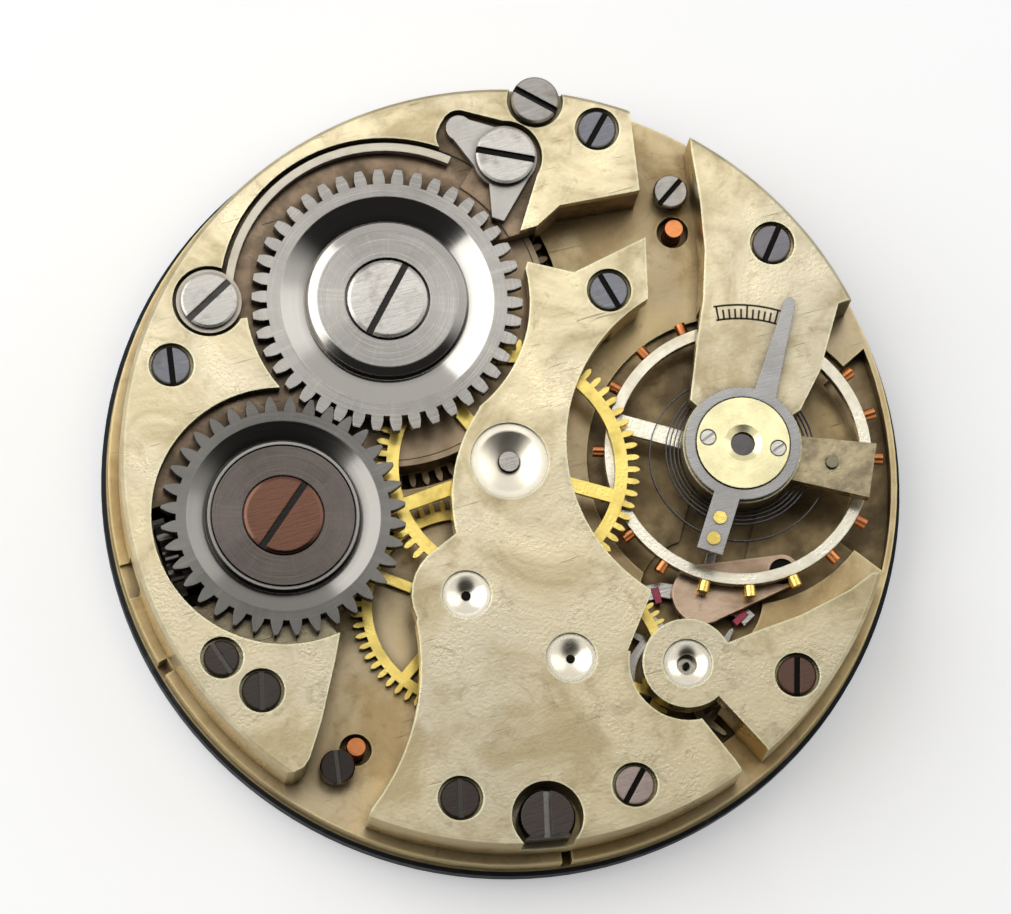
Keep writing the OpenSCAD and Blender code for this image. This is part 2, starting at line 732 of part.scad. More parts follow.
module crown_core_screw() {
    color("#7d5a4a") at(crown_at) screw(steel_top - 0.2, 1.95, 0.32, 0.7, 0.6, 40);
}

wind_pitch_r = winding_m * wind_pinion_z / 2;

// Pointed teeth that stand into the crown wheel's gaps from below
module winding_pinion() {
    steps = [[1.85, -0.36], [wind_pitch_r - 0.2, -0.17], [2.42, -0.07], [2.42, 0.07],
        [wind_pitch_r - 0.2, 0.17], [1.85, 0.36]];
    outline = [for (i = [0:wind_pinion_z - 1], s = steps)
        polar(s[0], wind_pinion_turn + i * 360 / wind_pinion_z + s[1] / s[0] * 180 / PI)];
    color("#8a8a90") translate([0, 0, stem_z]) rotate([90, 0, 90]) difference() {
        union() {
            slab(wind_pinion_x[0], wind_pinion_x[1]) polygon(outline);
            slab(wind_pinion_x[1], wind_pinion_x[2]) circle(1.7);
            slab(wind_pinion_x[2] - 0.01, wind_pinion_x[2] + dog_l) dogs(0);
        }
        slab(-30, 0) circle(stem_r + 0.03);
    }
}

// Ring of square driving teeth on the face of the pinion or the clutch
module dogs(turn) {
    for (i = [0:7]) rotate(turn + i * 45) intersection() {
        difference() {
            circle(1.55);
            circle(1.0);
        }
        polygon([[0, 0], polar(3, -10), polar(3, 10)]);
    }
}

module clutch_wheel() {
    groove_x = -13.7;
    groove_w = 0.86;
    color("#8a8a90") translate([0, 0, stem_z]) rotate([90, 0, 90]) difference() {
        union() {
            slab(clutch_x[0], clutch_x[1]) circle(clutch_r);
            slab(clutch_x[0] - dog_l, clutch_x[0] + 0.01) dogs(22.5);
            slab(clutch_x[1] - 0.01, clutch_x[1] + dog_l) dogs(0);
        }
        slab(groove_x - groove_w / 2, groove_x + groove_w / 2) difference() {
            circle(clutch_r + 1);
            circle(1.05);
        }
        slab(-30, 0) square(1.1, center = true);
    }
}

click_lobe = [2.6, 17.0];

module click() {
    beak = barrel_at + polar(ratchet_tip + 0.08, heading(barrel_at, [2.85, 12.15]));
    color("#a9a7a2") difference() {
        slab(click_z, click_z + click_t) {
            translate(click_at) circle(1.6);
            translate(click_lobe) circle(0.65);
            polygon([click_at + [-1.5, -0.3], click_lobe + [-0.5, -0.3], click_lobe + [0.25, 0.5],
                click_at + [0.3, 1.4]]);
            polygon([click_at + [1.2, -1], click_at + [-1.1, -0.9], beak, beak + [0.5, -0.35]]);
        }
        at(click_at) bar(0.75 + run_fit, -1, through);
    }
}

module click_screw() {
    z = click_z + click_t + 0.05;
    color("#a3a09a") at(click_at) {
        bar(0.75, click_z - 0.05, z);
        screw(z, 1.48, 0.4, 0.6, 2.4, -26);
    }
}

module click_spring() {
    z0 = click_z - 0.05;
    z1 = bridge_z - 0.05;
    first = 158;
    last = 50;
    inner = [for (a = [first:-4:last]) barrel_at + polar(spring_r - spring_w / 2, a)];
    outer = [for (a = [first:-4:last]) barrel_at + polar(spring_r + spring_w / 2, a)];
    color("#a9a49a") difference() {
        slab(z0, z1) {
            translate(spring_eye_at) circle(1.62);
            polygon(concat(inner, back(outer)));
            polygon([spring_eye_at + [0.3, -1.2], inner[0], outer[0], spring_eye_at + [0.8, 1.3]]);
        }
        at(spring_eye_at) bar(0.5 + pin_fit, -1, through);
    }
}

module click_spring_screw() {
    color("#a09d98") at(spring_eye_at) screw(bridge_z - 0.05, 1.4, 0.3, 0.5, 2.4, 28);
}

// Hand setting on the dial side

lever_t = 0.4;
lever_z = plate_z + 0.1;

module setting_lever() {
    pin_at = [-18.1, -0.75];
    color("#8c8c90") difference() {
        union() {
            slab(lever_z, lever_z + lever_t) {
                translate(lever_at) circle(1.1);
                translate(pin_at) circle(0.4);
                polygon([lever_at + [-0.9, 0.3], pin_at + [-0.35, 0], pin_at + [0.35, -0.1],
                    lever_at + [-0.1, 0.9]]);
                polygon([lever_at + [0.3, 0.9], lever_at + [1.8, 0.7], lever_at + [1.8, 0.1],
                    lever_at + [0.3, -0.9]]);
            }
            at(pin_at) bar(0.25, lever_z, keyless_z - 0.05);
        }
        at(lever_at) bar(lever_screw_r + pin_fit, -1, through);
    }
}

module setting_lever_screw() {
    shank = screw_seat - lever_z - 0.05;
    color("#5b4c44") at(lever_at) screw(screw_seat + 0.02, 0.87, 0.34, lever_screw_r, shank, -73);
}

yoke_tip = [-13.7, 0];

module yoke() {
    color("#8c8c90") difference() {
        union() {
            slab(lever_z, lever_z + lever_t) {
                translate(yoke_at) circle(0.9);
                polygon([yoke_at + [-0.8, 0.2], yoke_tip + [-0.35, 0.45], yoke_tip + [0.35, 0.45],
                    yoke_at + [0.8, 0.3]]);
            }
            slab(lever_z, stem_z - 1.12) translate(yoke_tip) square([0.5, 0.8], center = true);
        }
        at(yoke_at) bar(0.4 + run_fit, -1, through);
    }
}

module yoke_spring() {
    foot = [-9.4, -5.2];
    line = arc([-9.4, -4.7], [-10.6, -3.5], [-11.8, -3.1]);
    width = [0, 0.22];
    color("#98989c") slab(lever_z, keyless_z) {
        translate(foot) circle(0.65);
        polygon(concat(line, back([for (p = line) p - width])));
    }
}

module setting_wheel() {
    points = gear(setting_z, minute_m, even_form, setting_turn);
    color("#8a8a8e") at(setting_at) slab(setting_z0, setting_z1) difference() {
        polygon(points);
        circle(0.45 + run_fit);
    }
}

// Barrel

module barrel_drum() {
    color("#c9a889") at(barrel_at) difference() {
        union() {
            slab(drum_z, drum_z + tooth_h) polygon(gear(barrel_z, barrel_m, wheel_form));
            bar(drum_r, drum_z, drum_top);
        }
        bar(drum_r - drum_wall, drum_z + drum_floor, through);
        bar(barrel_bore + run_fit, -1, through);
    }
}

barrel_bore = 1.05;
cover_t = 0.3;

module barrel_cover() {
    color("#cdb093") at(barrel_at) difference() {
        bar(drum_r - drum_wall - pin_fit, drum_top - cover_t, drum_top);
        bar(barrel_bore + run_fit, -1, through);
    }
}

module barrel_arbor() {
    hub_z = drum_z + drum_floor + gap;
    color("#8f8f94") at(barrel_at) difference() {
        union() {
            bar(barrel_pivot_r, barrel_floor - 0.8, barrel_floor + 0.05);
            bar(barrel_bore, barrel_floor + 0.05, drum_top + 0.05);
            bar(arbor_hub_r, hub_z, drum_top - cover_t - gap);
            bar(arbor_top_r - 0.1, drum_top + 0.05, drum_top + 0.2);
            bar(arbor_top_r, drum_top + 0.2, recess_z + 0.03);
            slab(recess_z, ratchet_seat - 0.02) square(2 * square_r, center = true);
        }
        bar(0.5 + pin_fit, ratchet_seat - 1.1, through);
    }
}

// The mainspring fills the barrel from the wall to the arbor's hub
arbor_hub_r = 2.0;
main_t = 0.18;
main_turns = 8;
main_out = drum_r - drum_wall - 0.08;
main_in = arbor_hub_r + 0.26;
main_step = (main_out - main_t - main_in) / main_turns;

module mainspring() {
    points = spiral(main_out, main_step, main_turns, 40, 28 * main_turns);
    inner = spiral(main_out - main_t, main_step, main_turns, 40, 28 * main_turns);
    color("#6c7480") at(barrel_at) slab(drum_z + drum_floor + gap, drum_top - cover_t - gap)
        polygon(concat(points, back(inner)));
}

// Going train

cannon_top = work_z - 0.05;
hand_z = 0.06;

module centre_arbor() {
    leaf_z = barrel_floor + 0.05;
    color("#8f8f94") {
        bar(0.34, hand_z + 0.2, work_z);
        bar(centre_bear_r, work_z, leaf_z);
        slab(leaf_z, drum_z + tooth_h + 0.1)
            polygon(gear(centre_pinion_z, barrel_m, [1.18, leaf_form[1], leaf_form[2]], centre_pinion_turn));
        bar(0.7, drum_z + tooth_h + 0.1, centre_wheel_z);
        bar(0.55, centre_wheel_z, centre_wheel_z + wheel_t);
        bar(0.75, centre_wheel_z + wheel_t, web_z - 0.05);
        bar(centre_pivot_r, web_z - 0.05, bridge_z - 0.2);
    }
}

module centre_wheel() {
    color("#d4b04a") slab(centre_wheel_z, centre_wheel_z + wheel_t)
        crossed_wheel(gear(centre_z, centre_m, wheel_form), centre_m * centre_z / 2 - 0.95, 1.5, 0.7, 5,
            -31.5, 0.55 + pin_fit);
}

module cannon_pinion() {
    leaf_z = cannon_top - 0.4;
    color("#96969a") difference() {
        union() {
            slab(leaf_z, cannon_top) polygon(gear(cannon_z, minute_m, [1.1, leaf_form[1], 1.5]));
            bar(0.55, hand_z, leaf_z);
        }
        bar(0.34 + pin_fit, -1, through);
    }
}

pipe_r = 0.85;

module hour_wheel() {
    z0 = plate_z + 0.05;
    color("#cfae55") difference() {
        union() {
            slab(z0, z0 + wheel_t) polygon(gear(hour_z, hour_m, wheel_form, hour_turn));
            bar(pipe_r, hand_z + 0.22, z0 + 0.05);
        }
        bar(0.55 + run_fit, -1, through);
    }
}

module minute_wheel() {
    leaf_z = plate_z + 0.05;
    color("#cfae55") at(minute_at) difference() {
        union() {
            slab(cannon_top - 0.35, cannon_top - 0.05)
                polygon(gear(minute_z, minute_m, wheel_form, minute_turn));
            slab(leaf_z, cannon_top - 0.35)
                polygon(gear(minute_pinion_z, hour_m, [1.05, leaf_form[1], 1.6]));
        }
        bar(0.4 + run_fit, -1, through);
    }
}

pivot_end = bridge_z - 0.5;

module third_arbor() {
    leaf_z = centre_wheel_z - leaf_over;
    color("#8f8f94") at(third_at) {
        bar(third_pivot_r, top_z - 0.7, top_z + 0.03);
        bar(0.38, top_z + 0.03, leaf_z);
        slab(leaf_z, web_z - gap) polygon(gear(third_pinion_z, centre_m, leaf_form, third_pinion_turn));
        bar(third_pivot_r, web_z - gap, pivot_end);
    }
}

module third_wheel() {
    color("#cfa944") at(third_at) slab(third_wheel_z, third_wheel_z + wheel_t)
        crossed_wheel(gear(third_z, third_m, wheel_form), third_m * third_z / 2 - 0.8, 1.0, 0.5, 5, -1.5,
            0.38 + pin_fit);
}

module fourth_arbor() {
    color("#8f8f94") at(fourth_at) {
        bar(seconds_r, hand_z, top_z - 0.5);
        bar(0.36, top_z - 0.5, top_z + 0.05);
        slab(top_z + 0.05, third_wheel_z + wheel_t + leaf_over)
            polygon(gear(fourth_pinion_z, third_m, leaf_form, fourth_pinion_turn));
        bar(0.36, third_wheel_z + wheel_t + leaf_over, web_z - gap);
        bar(fourth_pivot_r, web_z - gap, pivot_end);
    }
}

module fourth_wheel() {
    color("#cfa944") at(fourth_at) slab(fourth_wheel_z, fourth_wheel_z + wheel_t)
        crossed_wheel(gear(fourth_z, fourth_m, wheel_form), fourth_m * fourth_z / 2 - 0.75, 1.0, 0.45, 5, -33,
            0.36 + pin_fit);
}

module escape_arbor() {
    leaf_z = fourth_wheel_z - leaf_over;
    color("#8f8f94") at(escape_at) {
        bar(escape_pivot_r, escape_floor - 0.45, escape_floor + 0.05);
        bar(0.3, escape_floor + 0.05, leaf_z);
        slab(leaf_z, fourth_wheel_z + wheel_t + leaf_over)
            polygon(gear(escape_pinion_z, fourth_m, [1.0, 0.6, 1.6], escape_pinion_turn));
        bar(0.3, fourth_wheel_z + wheel_t + leaf_over, web_z - gap);
        bar(escape_pivot_r, web_z - gap, pivot_end);
    }
}

// Club teeth, leaning the way the wheel turns
module escape_wheel() {
    steps = [[0.74, -7], [0.98, 1.2], [1, 3.4], [0.95, 4.2], [0.74, 1.5]];
    outline = [for (i = [0:escape_z - 1], s = steps) polar(escape_r * s[0], i * 360 / escape_z + s[1])];
    color("#9c9ca0") at(escape_at) slab(escape_wheel_z, escape_wheel_z + wheel_t)
        crossed_wheel(outline, 0.62 * escape_r, 0.8, 0.45, 4, 10, 0.3 + pin_fit);
}

// Lever escapement

// Places in the pallet's own frame, where +X points along the lever to the balance
stone_turn = 30;
stone_w = 0.32;
stone_x = 0.25;
fork_span = 2.82;
fork_reach = norm(balance_at - pallet_at) - 2.15;

module in_pallet_frame() {
    at(pallet_at) rotate(heading(pallet_at, balance_at)) children();
}

module at_stone(side) {
    place = [escape_r * cos(stone_turn) - pallet_from_escape, side * escape_r * sin(stone_turn)];
    translate(place) rotate(side * stone_turn) children();
}

module pallet_fork() {
    end = fork_reach;
    z0 = escape_wheel_z;
    z1 = escape_wheel_z + wheel_t;
    color("#a6a6aa") in_pallet_frame() difference() {
        union() {
            bar(0.52, z0, z1);
            for (s = [-1, 1]) {
                slab(z0, z1) polygon([[-0.42, 0.2 * s], [0.42, 0.2 * s], [0.2, 2.15 * s], [-0.5, 2 * s]]);
                slab(z0, z1) at_stone(s) translate([0.5, -0.42]) square([0.75, 0.84]);
            }
            slab(z0, z1) polygon([[0.2, -0.3], [end - 0.9, -0.17], [end - 0.6, -0.5], [end, -0.55],
                [end, -0.25], [end - 0.4, -0.2], [end - 0.4, 0.2], [end, 0.25], [end, 0.55], [end - 0.6, 0.5],
                [end - 0.9, 0.17], [0.2, 0.3]]);
        }
        bar(0.3 + pin_fit, -1, through);
        for (s = [-1, 1]) slab(-1, through) at_stone(s) translate([0, -stone_w / 2 - pin_fit])
            square([1.03, stone_w + 2 * pin_fit]);
    }
}

module pallet_arbor() {
    color("#8f8f94") at(pallet_at) {
        bar(pallet_pivot_r, escape_floor - 0.45, escape_floor + 0.05);
        bar(0.3, escape_floor + 0.05, top_z + 0.12);
        bar(pallet_pivot_r, top_z + 0.12, top_z + 0.6);
    }
}

// Two jewels let into the fork's arms, clear of the escape wheel's tips
module pallet_stones() {
    over = 0.04;
    color("#a01830") in_pallet_frame() for (s = [-1, 1])
        slab(escape_wheel_z - over, escape_wheel_z + wheel_t + over) at_stone(s)
            translate([stone_x, -stone_w / 2]) square([0.75, stone_w]);
}

// Balance

balance_arm_turn = 148.5;

module balance_wheel() {
    color("#cfc6ac") at(balance_at) difference() {
        union() {
            slab(rim_z, rim_z + rim_h) difference() {
                circle(rim_r);
                circle(rim_r - rim_w);
            }
            slab(rim_z + 0.1, rim_z + 0.1 + arm_t) {
                circle(1.2);
                rotate(balance_arm_turn) square([2 * rim_r - rim_w, 0.9], center = true);
            }
        }
        bar(0.55 + pin_fit, -1, through);
        for (i = [0:balance_screw_n - 1]) balance_screw_place(i)
            cylinder(r = 0.14 + pin_fit, h = 2, center = true);
    }
}

// Screws sit round the rim, clear of the two arm ends
module balance_screw_place(i) {
    half = balance_screw_n / 2;
    side = floor(i / half);
    turn = balance_arm_turn + 180 * side + 14 + (i % half) * 152 / (half - 1);
    rotate(turn) translate([rim_r, 0, rim_z + rim_h / 2]) rotate([0, 90, 0]) children();
}

module balance_screws() {
    color("#b9793f") at(balance_at) for (i = [0:balance_screw_n - 1]) balance_screw_place(i) {
        translate([0, 0, 0.02]) cylinder(r = 0.28, h = 0.55);
        translate([0, 0, -0.5]) cylinder(r = 0.14, h = 0.6);
    }
}

staff_pivot_r = 0.12;

module balance_staff() {
    low = jewel_low_z + 0.45;
    color("#9a9aa0") at(balance_at) {
        bar(staff_pivot_r, low, escape_floor - 0.02);
        bar(0.35, escape_floor - 0.02, roller_z);
        bar(0.5, roller_z, roller_z + 0.2);
        bar(0.8, roller_z + 0.2, rim_z + 0.1);
        bar(0.55, rim_z + 0.1, rim_z + 0.1 + arm_t);
        bar(0.45, rim_z + 0.1 + arm_t, web_z + 0.02);
        bar(staff_pivot_r, web_z + 0.02, bridge_z - 0.3);
    }
}

module collet() {
    color("#bfa668") at(balance_at) difference() {
        bar(collet_r, hair_z - 0.1, hair_z + hair_h + 0.1);
        bar(0.45 + pin_fit, -1, through);
    }
}

impulse_r = 1.85;

module roller_table() {
    color("#a4a4a8") at(balance_at) difference() {
        bar(2.15, roller_z, roller_z + 0.2);
        bar(0.5 + pin_fit, -1, through);
        rotate(heading(balance_at, pallet_at)) translate([impulse_r, 0, 0]) bar(0.16 + pin_fit, -1, through);
    }
}

module impulse_pin() {
    color("#b02038") at(balance_at) rotate(heading(balance_at, pallet_at)) translate([impulse_r, 0, 0])
        bar(0.16, escape_wheel_z - 0.05, roller_z + 0.2);
}

// Hole jewels with their endstones, below and above the balance
module balance_jewels() {
    color("#8c1f3a") at(balance_at) {
        bar(jewel_r, jewel_low_z, jewel_low_z + 0.35);
        hole_jewel(jewel_low_z + 0.55);
        hole_jewel(web_z + 0.35);
        bar(jewel_r, bridge_z - 0.25, bridge_z);
    }
}

module hole_jewel(z) {
    difference() {
        bar(jewel_r, z, z + 0.4);
        bar(staff_pivot_r + run_fit, -1, through);
    }
}

collet_r = 0.85;
hair_in = collet_r + 0.1;
hair_turns = hair_arc + hair_rise + (hair_r - hair_drop - hair_in) / hair_step;
hair_steps = 30;

// Radius of the hairspring a number of turns back from its stud: an arc, a drop, then even coils
function hair_line(u) = let (k = max(0, min(1, (u - hair_arc) / hair_rise)))
    hair_r - hair_drop * k * k * (3 - 2 * k) - hair_step * max(0, u - hair_arc - hair_rise);
function hair_edge(side) = [for (i = [0:floor(hair_turns * hair_steps)]) let (u = i / hair_steps)
    polar(hair_line(u) + side * hair_t / 2, stud_turn - 360 * u)];

module hairspring() {
    outer = hair_edge(1);
    inner = hair_edge(-1);
    gaps = [for (i = [0:len(outer) - hair_steps - 2], k = [-1:1]) norm(inner[i] - outer[i + hair_steps + k])];
    echo("least gap between hairspring coils", min(gaps));
    color("#4a5268") at(balance_at) slab(hair_z, hair_z + hair_h) polygon(concat(outer, back(inner)));
}

module hairspring_stud() {
    color("#9b9b9f") at(stud_at) difference() {
        bar(0.3, hair_z - 0.15, bridge_z - 0.1);
        slab(hair_z - 0.03, hair_z + hair_h + 0.03)
            rotate(stud_turn) square([hair_t + 0.1, 2], center = true);
    }
}

// Regulator and endstone cap

regulator_turn = 55.8;
regulator_z = bridge_z + 0.04;
regulator_t = 0.3;
cap_r = 2.3;
tail_w = 1.3;
curb_at = [3.98, 5.08];

module regulator() {
    color("#97969b") at(balance_at) slab(regulator_z, regulator_z + regulator_t) difference() {
        union() {
            circle(2.85);
            rotate(regulator_turn) polygon([[2, -0.95], [7.6, -0.42], [7.85, -0.3], [7.9, -0.1], [7.7, 0.12],
                [2, 0.25]]);
            rotate(regulator_turn + 180) translate([2, -tail_w / 2]) square([3.75, tail_w]);
        }
        circle(cap_r + run_fit + 0.03);
        for (r = curb_at) rotate(regulator_turn + 180) translate([r, 0]) circle(0.24 + pin_fit);
    }
}

module curb_pins() {
    color("#d2a136") at(balance_at) for (r = curb_at) rotate(regulator_turn + 180) translate([r, 0, 0]) {
        bar(0.24, hair_z - 0.1, regulator_z + regulator_t);
        bar(0.33, regulator_z + regulator_t, regulator_z + regulator_t + 0.08);
    }
}

module endstone_cap() {
    top = bridge_z + 0.42;
    color("#e6dfae") at(balance_at) difference() {
        bar(cap_r, bridge_z, top);
        bar(0.6, -1, through);
        translate([0, 0, top - 0.2]) cylinder(r1 = 0.6, r2 = 0.93, h = 0.201);
        for (s = [-1, 1]) at(s * cap_screw_offset) screw_hole(top - 0.15, 0.42, 0.2);
    }
}

module endstone_cap_screws() {
    color("#c9ccd0") for (s = [-1, 1]) at(balance_at + s * cap_screw_offset)
        screw(bridge_z + 0.27, 0.38, 0.17, 0.2, 0.9, 20);
}

main_plate();
barrel_bridge();
train_bridge();
escape_cock();
balance_cock();
pallet_cock();
barrel_bridge_screws();
train_bridge_screws();
cock_screws();
case_screws();
dial();
dial_feet();
dial_foot_screws();
crown_core();
crown_core_screw();
click();
click_screw();
click_spring();
click_spring_screw();
ratchet_wheel();
ratchet_screw();
crown_wheel();
winding_pinion();
clutch_wheel();
setting_lever();
setting_lever_screw();
yoke();
yoke_spring();
setting_wheel();
barrel_drum();
barrel_cover();
barrel_arbor();
mainspring();
centre_arbor();
centre_wheel();
cannon_pinion();
minute_wheel();
hour_wheel();
third_arbor();
third_wheel();
fourth_arbor();
fourth_wheel();
escape_arbor();
escape_wheel();
pallet_fork();
pallet_arbor();
pallet_stones();
balance_wheel();
balance_screws();
balance_staff();
collet();
roller_table();
impulse_pin();
balance_jewels();
hairspring();
hairspring_stud();
regulator();
curb_pins();
endstone_cap();
endstone_cap_screws();
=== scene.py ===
import math

import bpy
import numpy as np
from bpy.props import FloatProperty, FloatVectorProperty, IntProperty, PointerProperty
from bpy.types import Operator, Panel, PropertyGroup
from mathutils import Matrix


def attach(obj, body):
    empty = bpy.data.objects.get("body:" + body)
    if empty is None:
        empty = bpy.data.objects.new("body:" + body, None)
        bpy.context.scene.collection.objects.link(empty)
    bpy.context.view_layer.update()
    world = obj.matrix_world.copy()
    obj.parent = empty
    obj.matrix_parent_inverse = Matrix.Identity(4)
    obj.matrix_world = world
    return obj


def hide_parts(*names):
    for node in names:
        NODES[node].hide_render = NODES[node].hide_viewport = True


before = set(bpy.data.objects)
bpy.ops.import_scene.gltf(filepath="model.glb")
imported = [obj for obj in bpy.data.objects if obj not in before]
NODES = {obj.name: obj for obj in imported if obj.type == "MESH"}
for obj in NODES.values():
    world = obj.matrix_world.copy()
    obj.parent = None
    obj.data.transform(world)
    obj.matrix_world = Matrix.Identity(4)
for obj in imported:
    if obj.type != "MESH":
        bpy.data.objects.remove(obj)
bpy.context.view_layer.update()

bl_info = {
    "name": "Pocket watch movement looks",
    "version": (1, 0, 0),
    "blender": (4, 5, 0),
    "location": "View3D > Sidebar > Movement",
    "description": "Finishes for the plate, bridges, wheels and balance of a pocket watch movement",
    "category": "Object",
}

# Axes of the turning pieces in millimetres, as in the part's own frame
BARREL = (-3.4, 9.5)
CROWN = (-11.47, 0.4)
CENTRE = (0.0, 0.0)
THIRD = (-4.0, -5.87)
FOURTH = (0.0, -10.3)
ESCAPE = (5.4, -12.15)
BALANCE = (11.3, -2.4)
BRIDGE_TOP = 6.2
# Zones of the plate and the bridges in millimetres: heights and radii between which a finish changes or painted
# shade begins
WELL_LEVEL = (2.58, 2.9)
WELL_ROUND = (19.2, 19.4)
BALANCE_WELL = (8.2, 9.4)
BALANCE_WELL_LEVEL = (2.5, 2.9)
FLANGE_ROUND = (19.64, 19.70)
DIAL_EDGE_ROUND = (19.55, 19.68)
RECESS_FLOOR = 5.62
RECESS_ROUND = (18.7, 18.9)
STUD_ARM_LEVEL = (5.91, 5.96)
JEWEL_TOP = (5.6, 5.9)
PIVOT_END = (5.2, 5.4)
# Heights of the slot floors, below which the screw heads are painted in shade: screws level with the bridges, wheel
# screws, click work, case and dial foot screws
SLOT_FLOOR = 6.03
WHEEL_SLOT = 6.14
CLICK_SLOT = 6.42
SPRING_SLOT = 6.32
CASE_SLOT = 5.36
DIAL_SCREW_SLOT = 3.98
# How far the second case screw lies above the first one
CASE_RISE = 0.81
# Places of the hairspring's outer end, the gold balance screws and the regulator's scale, in degrees
STUD_ANGLE = -26.5
GOLD_ANGLE = 257.5
SCALE_ANGLES = (58.0, 83.0)
# How far along that angle from the balance axis the gold begins, in millimetres
GOLD_REACH = (5.9, 6.1)
# Soft lamps: name, share of the key light's power, place and width in metres
LAMPS = (
    ("key_light", 1.0, (-0.20, 0.17, 0.25), 0.44),
    ("side_light", 0.20, (0.28, 0.06, 0.20), 0.30),
    ("top_light", 0.05, (0.053, 0.118, 0.336), 0.11),
)
# Light that the floor adds for the camera only
FLOOR_GLOW = 0.32
# Dark screen overhead that the polished pieces reflect: its direction, the cosines of its soft edge, its strength
SCREEN_WAY = (0.0, -0.375, 0.927)
SCREEN_EDGE = (0.80, 0.90)
SCREEN_LEVEL = 0.03


def colour(name, text, value):
    """A colour that the sidebar shows, as linear red, green and blue."""
    return FloatVectorProperty(name=name, description=text, subtype="COLOR", size=3, min=0.0, max=1.0,
                               default=value)


def length(name, text, value):
    """A length in metres that the sidebar shows in the scene's units."""
    return FloatProperty(name=name, description=text, subtype="DISTANCE", unit="LENGTH", precision=6, default=value)


class MovementColours(PropertyGroup):
    """Colours of the metals and the dial."""

    nickel: colour("Nickel", "Frosted nickel of the bridges and cocks", (0.74, 0.635, 0.41))
    nickel_worn: colour("Worn nickel", "Where the nickel is stained and thin", (0.40, 0.31, 0.16))
    gilt: colour("Gilt edge", "Side walls and edges where the plating has gone yellow", (0.80, 0.63, 0.31))
    plate: colour("Plate", "Top of the main plate below the bridges", (0.70, 0.54, 0.29))
    # plate_worn is also the colour of the painted shade in the plate's wells.
    plate_worn: colour("Worn plate", "Brown stain on the main plate", (0.44, 0.31, 0.15))
    # flange: near-black colour given to the flange and the dial's rim; what darkens them is not known.
    flange: colour("Flange", "Dark oxidised flange round the plate", (0.022, 0.025, 0.030))
    steel: colour("Steel", "Grained steel of the ratchet wheel and click", (0.42, 0.40, 0.365))
    steel_dark: colour("Dark steel", "Steel with an old brown film", (0.105, 0.088, 0.078))
    blue_grey: colour("Screw steel", "Tempered steel of the screw heads", (0.20, 0.205, 0.225))
    rosy: colour("Brown screw steel", "Screw heads that have gone a pale brown", (0.46, 0.37, 0.33))
    brass: colour("Brass", "Gilt brass of the train wheels", (0.95, 0.71, 0.20))
    barrel: colour("Barrel brass", "Dull brass of the barrel", (0.34, 0.26, 0.17))
    copper: colour("Copper", "Dial feet and balance screws", (0.66, 0.25, 0.09))
    cap: colour("Cap", "Pale brass of the endstone cap", (0.90, 0.81, 0.47))
    enamel: colour("Enamel", "White of the dial", (0.86, 0.85, 0.80))
    ink: colour("Ink", "Marks on the dial and the scale", (0.012, 0.012, 0.014))
    ruby: colour("Ruby", "Jewels and pallet stones", (0.42, 0.02, 0.07))


class MovementSizes(PropertyGroup):
    """Sizes of the pieces that are made here."""

    hair_radius: length("Hairspring radius", "Outer arc of the hairspring at its stud", 0.00453)
    hair_drop: length("Hairspring drop", "How far the outer arc bends in to the coils", 0.00075)
    hair_step: length("Hairspring step", "Radial step of one coil", 0.0002)
    hair_thickness: length("Hairspring thickness", "Thickness of the strip", 0.00005)
    hair_low: length("Hairspring foot", "Height of the lower edge of the strip", 0.0046)
    hair_high: length("Hairspring top", "Height of the upper edge of the strip", 0.00485)
    tick_count: IntProperty(name="Scale ticks", description="Ticks of the regulator's scale", default=11, min=3,
                            max=25)
    tick_inner: length("Scale radius", "Inner end of the ticks from the balance axis", 0.00645)
    tick_long: length("Scale tick", "Length of a long tick", 0.0007)
    mark_depth: length("Mark depth", "How far a printed or cut mark stands from its face", 0.000012)


class MovementStage(PropertyGroup):
    """Camera, floor and light."""

    eye: FloatVectorProperty(name="Eye", description="Place of the camera", subtype="TRANSLATION", unit="LENGTH",
                             size=3, default=(-0.05066, -0.07328, 0.33897))
    right: FloatVectorProperty(name="Right", description="Direction to the right of the picture",
                               subtype="DIRECTION", size=3, default=(0.9528, -0.2927, 0.0800))
    up: FloatVectorProperty(name="Up", description="Direction to the top of the picture", subtype="DIRECTION",
                            size=3, default=(0.2657, 0.9321, 0.2462))
    lens: FloatProperty(name="Lens", description="Focal length in millimetres", default=249.88, min=10.0)
    floor_drop: length("Floor drop", "How far the floor lies below the dial's face", 0.00003)
    key_power: FloatProperty(name="Key light", description="Power of the large soft light", subtype="POWER",
                             default=0.86, min=0.0)
    fill: FloatProperty(name="Fill", description="Strength of the light from all round", default=0.38, min=0.0)


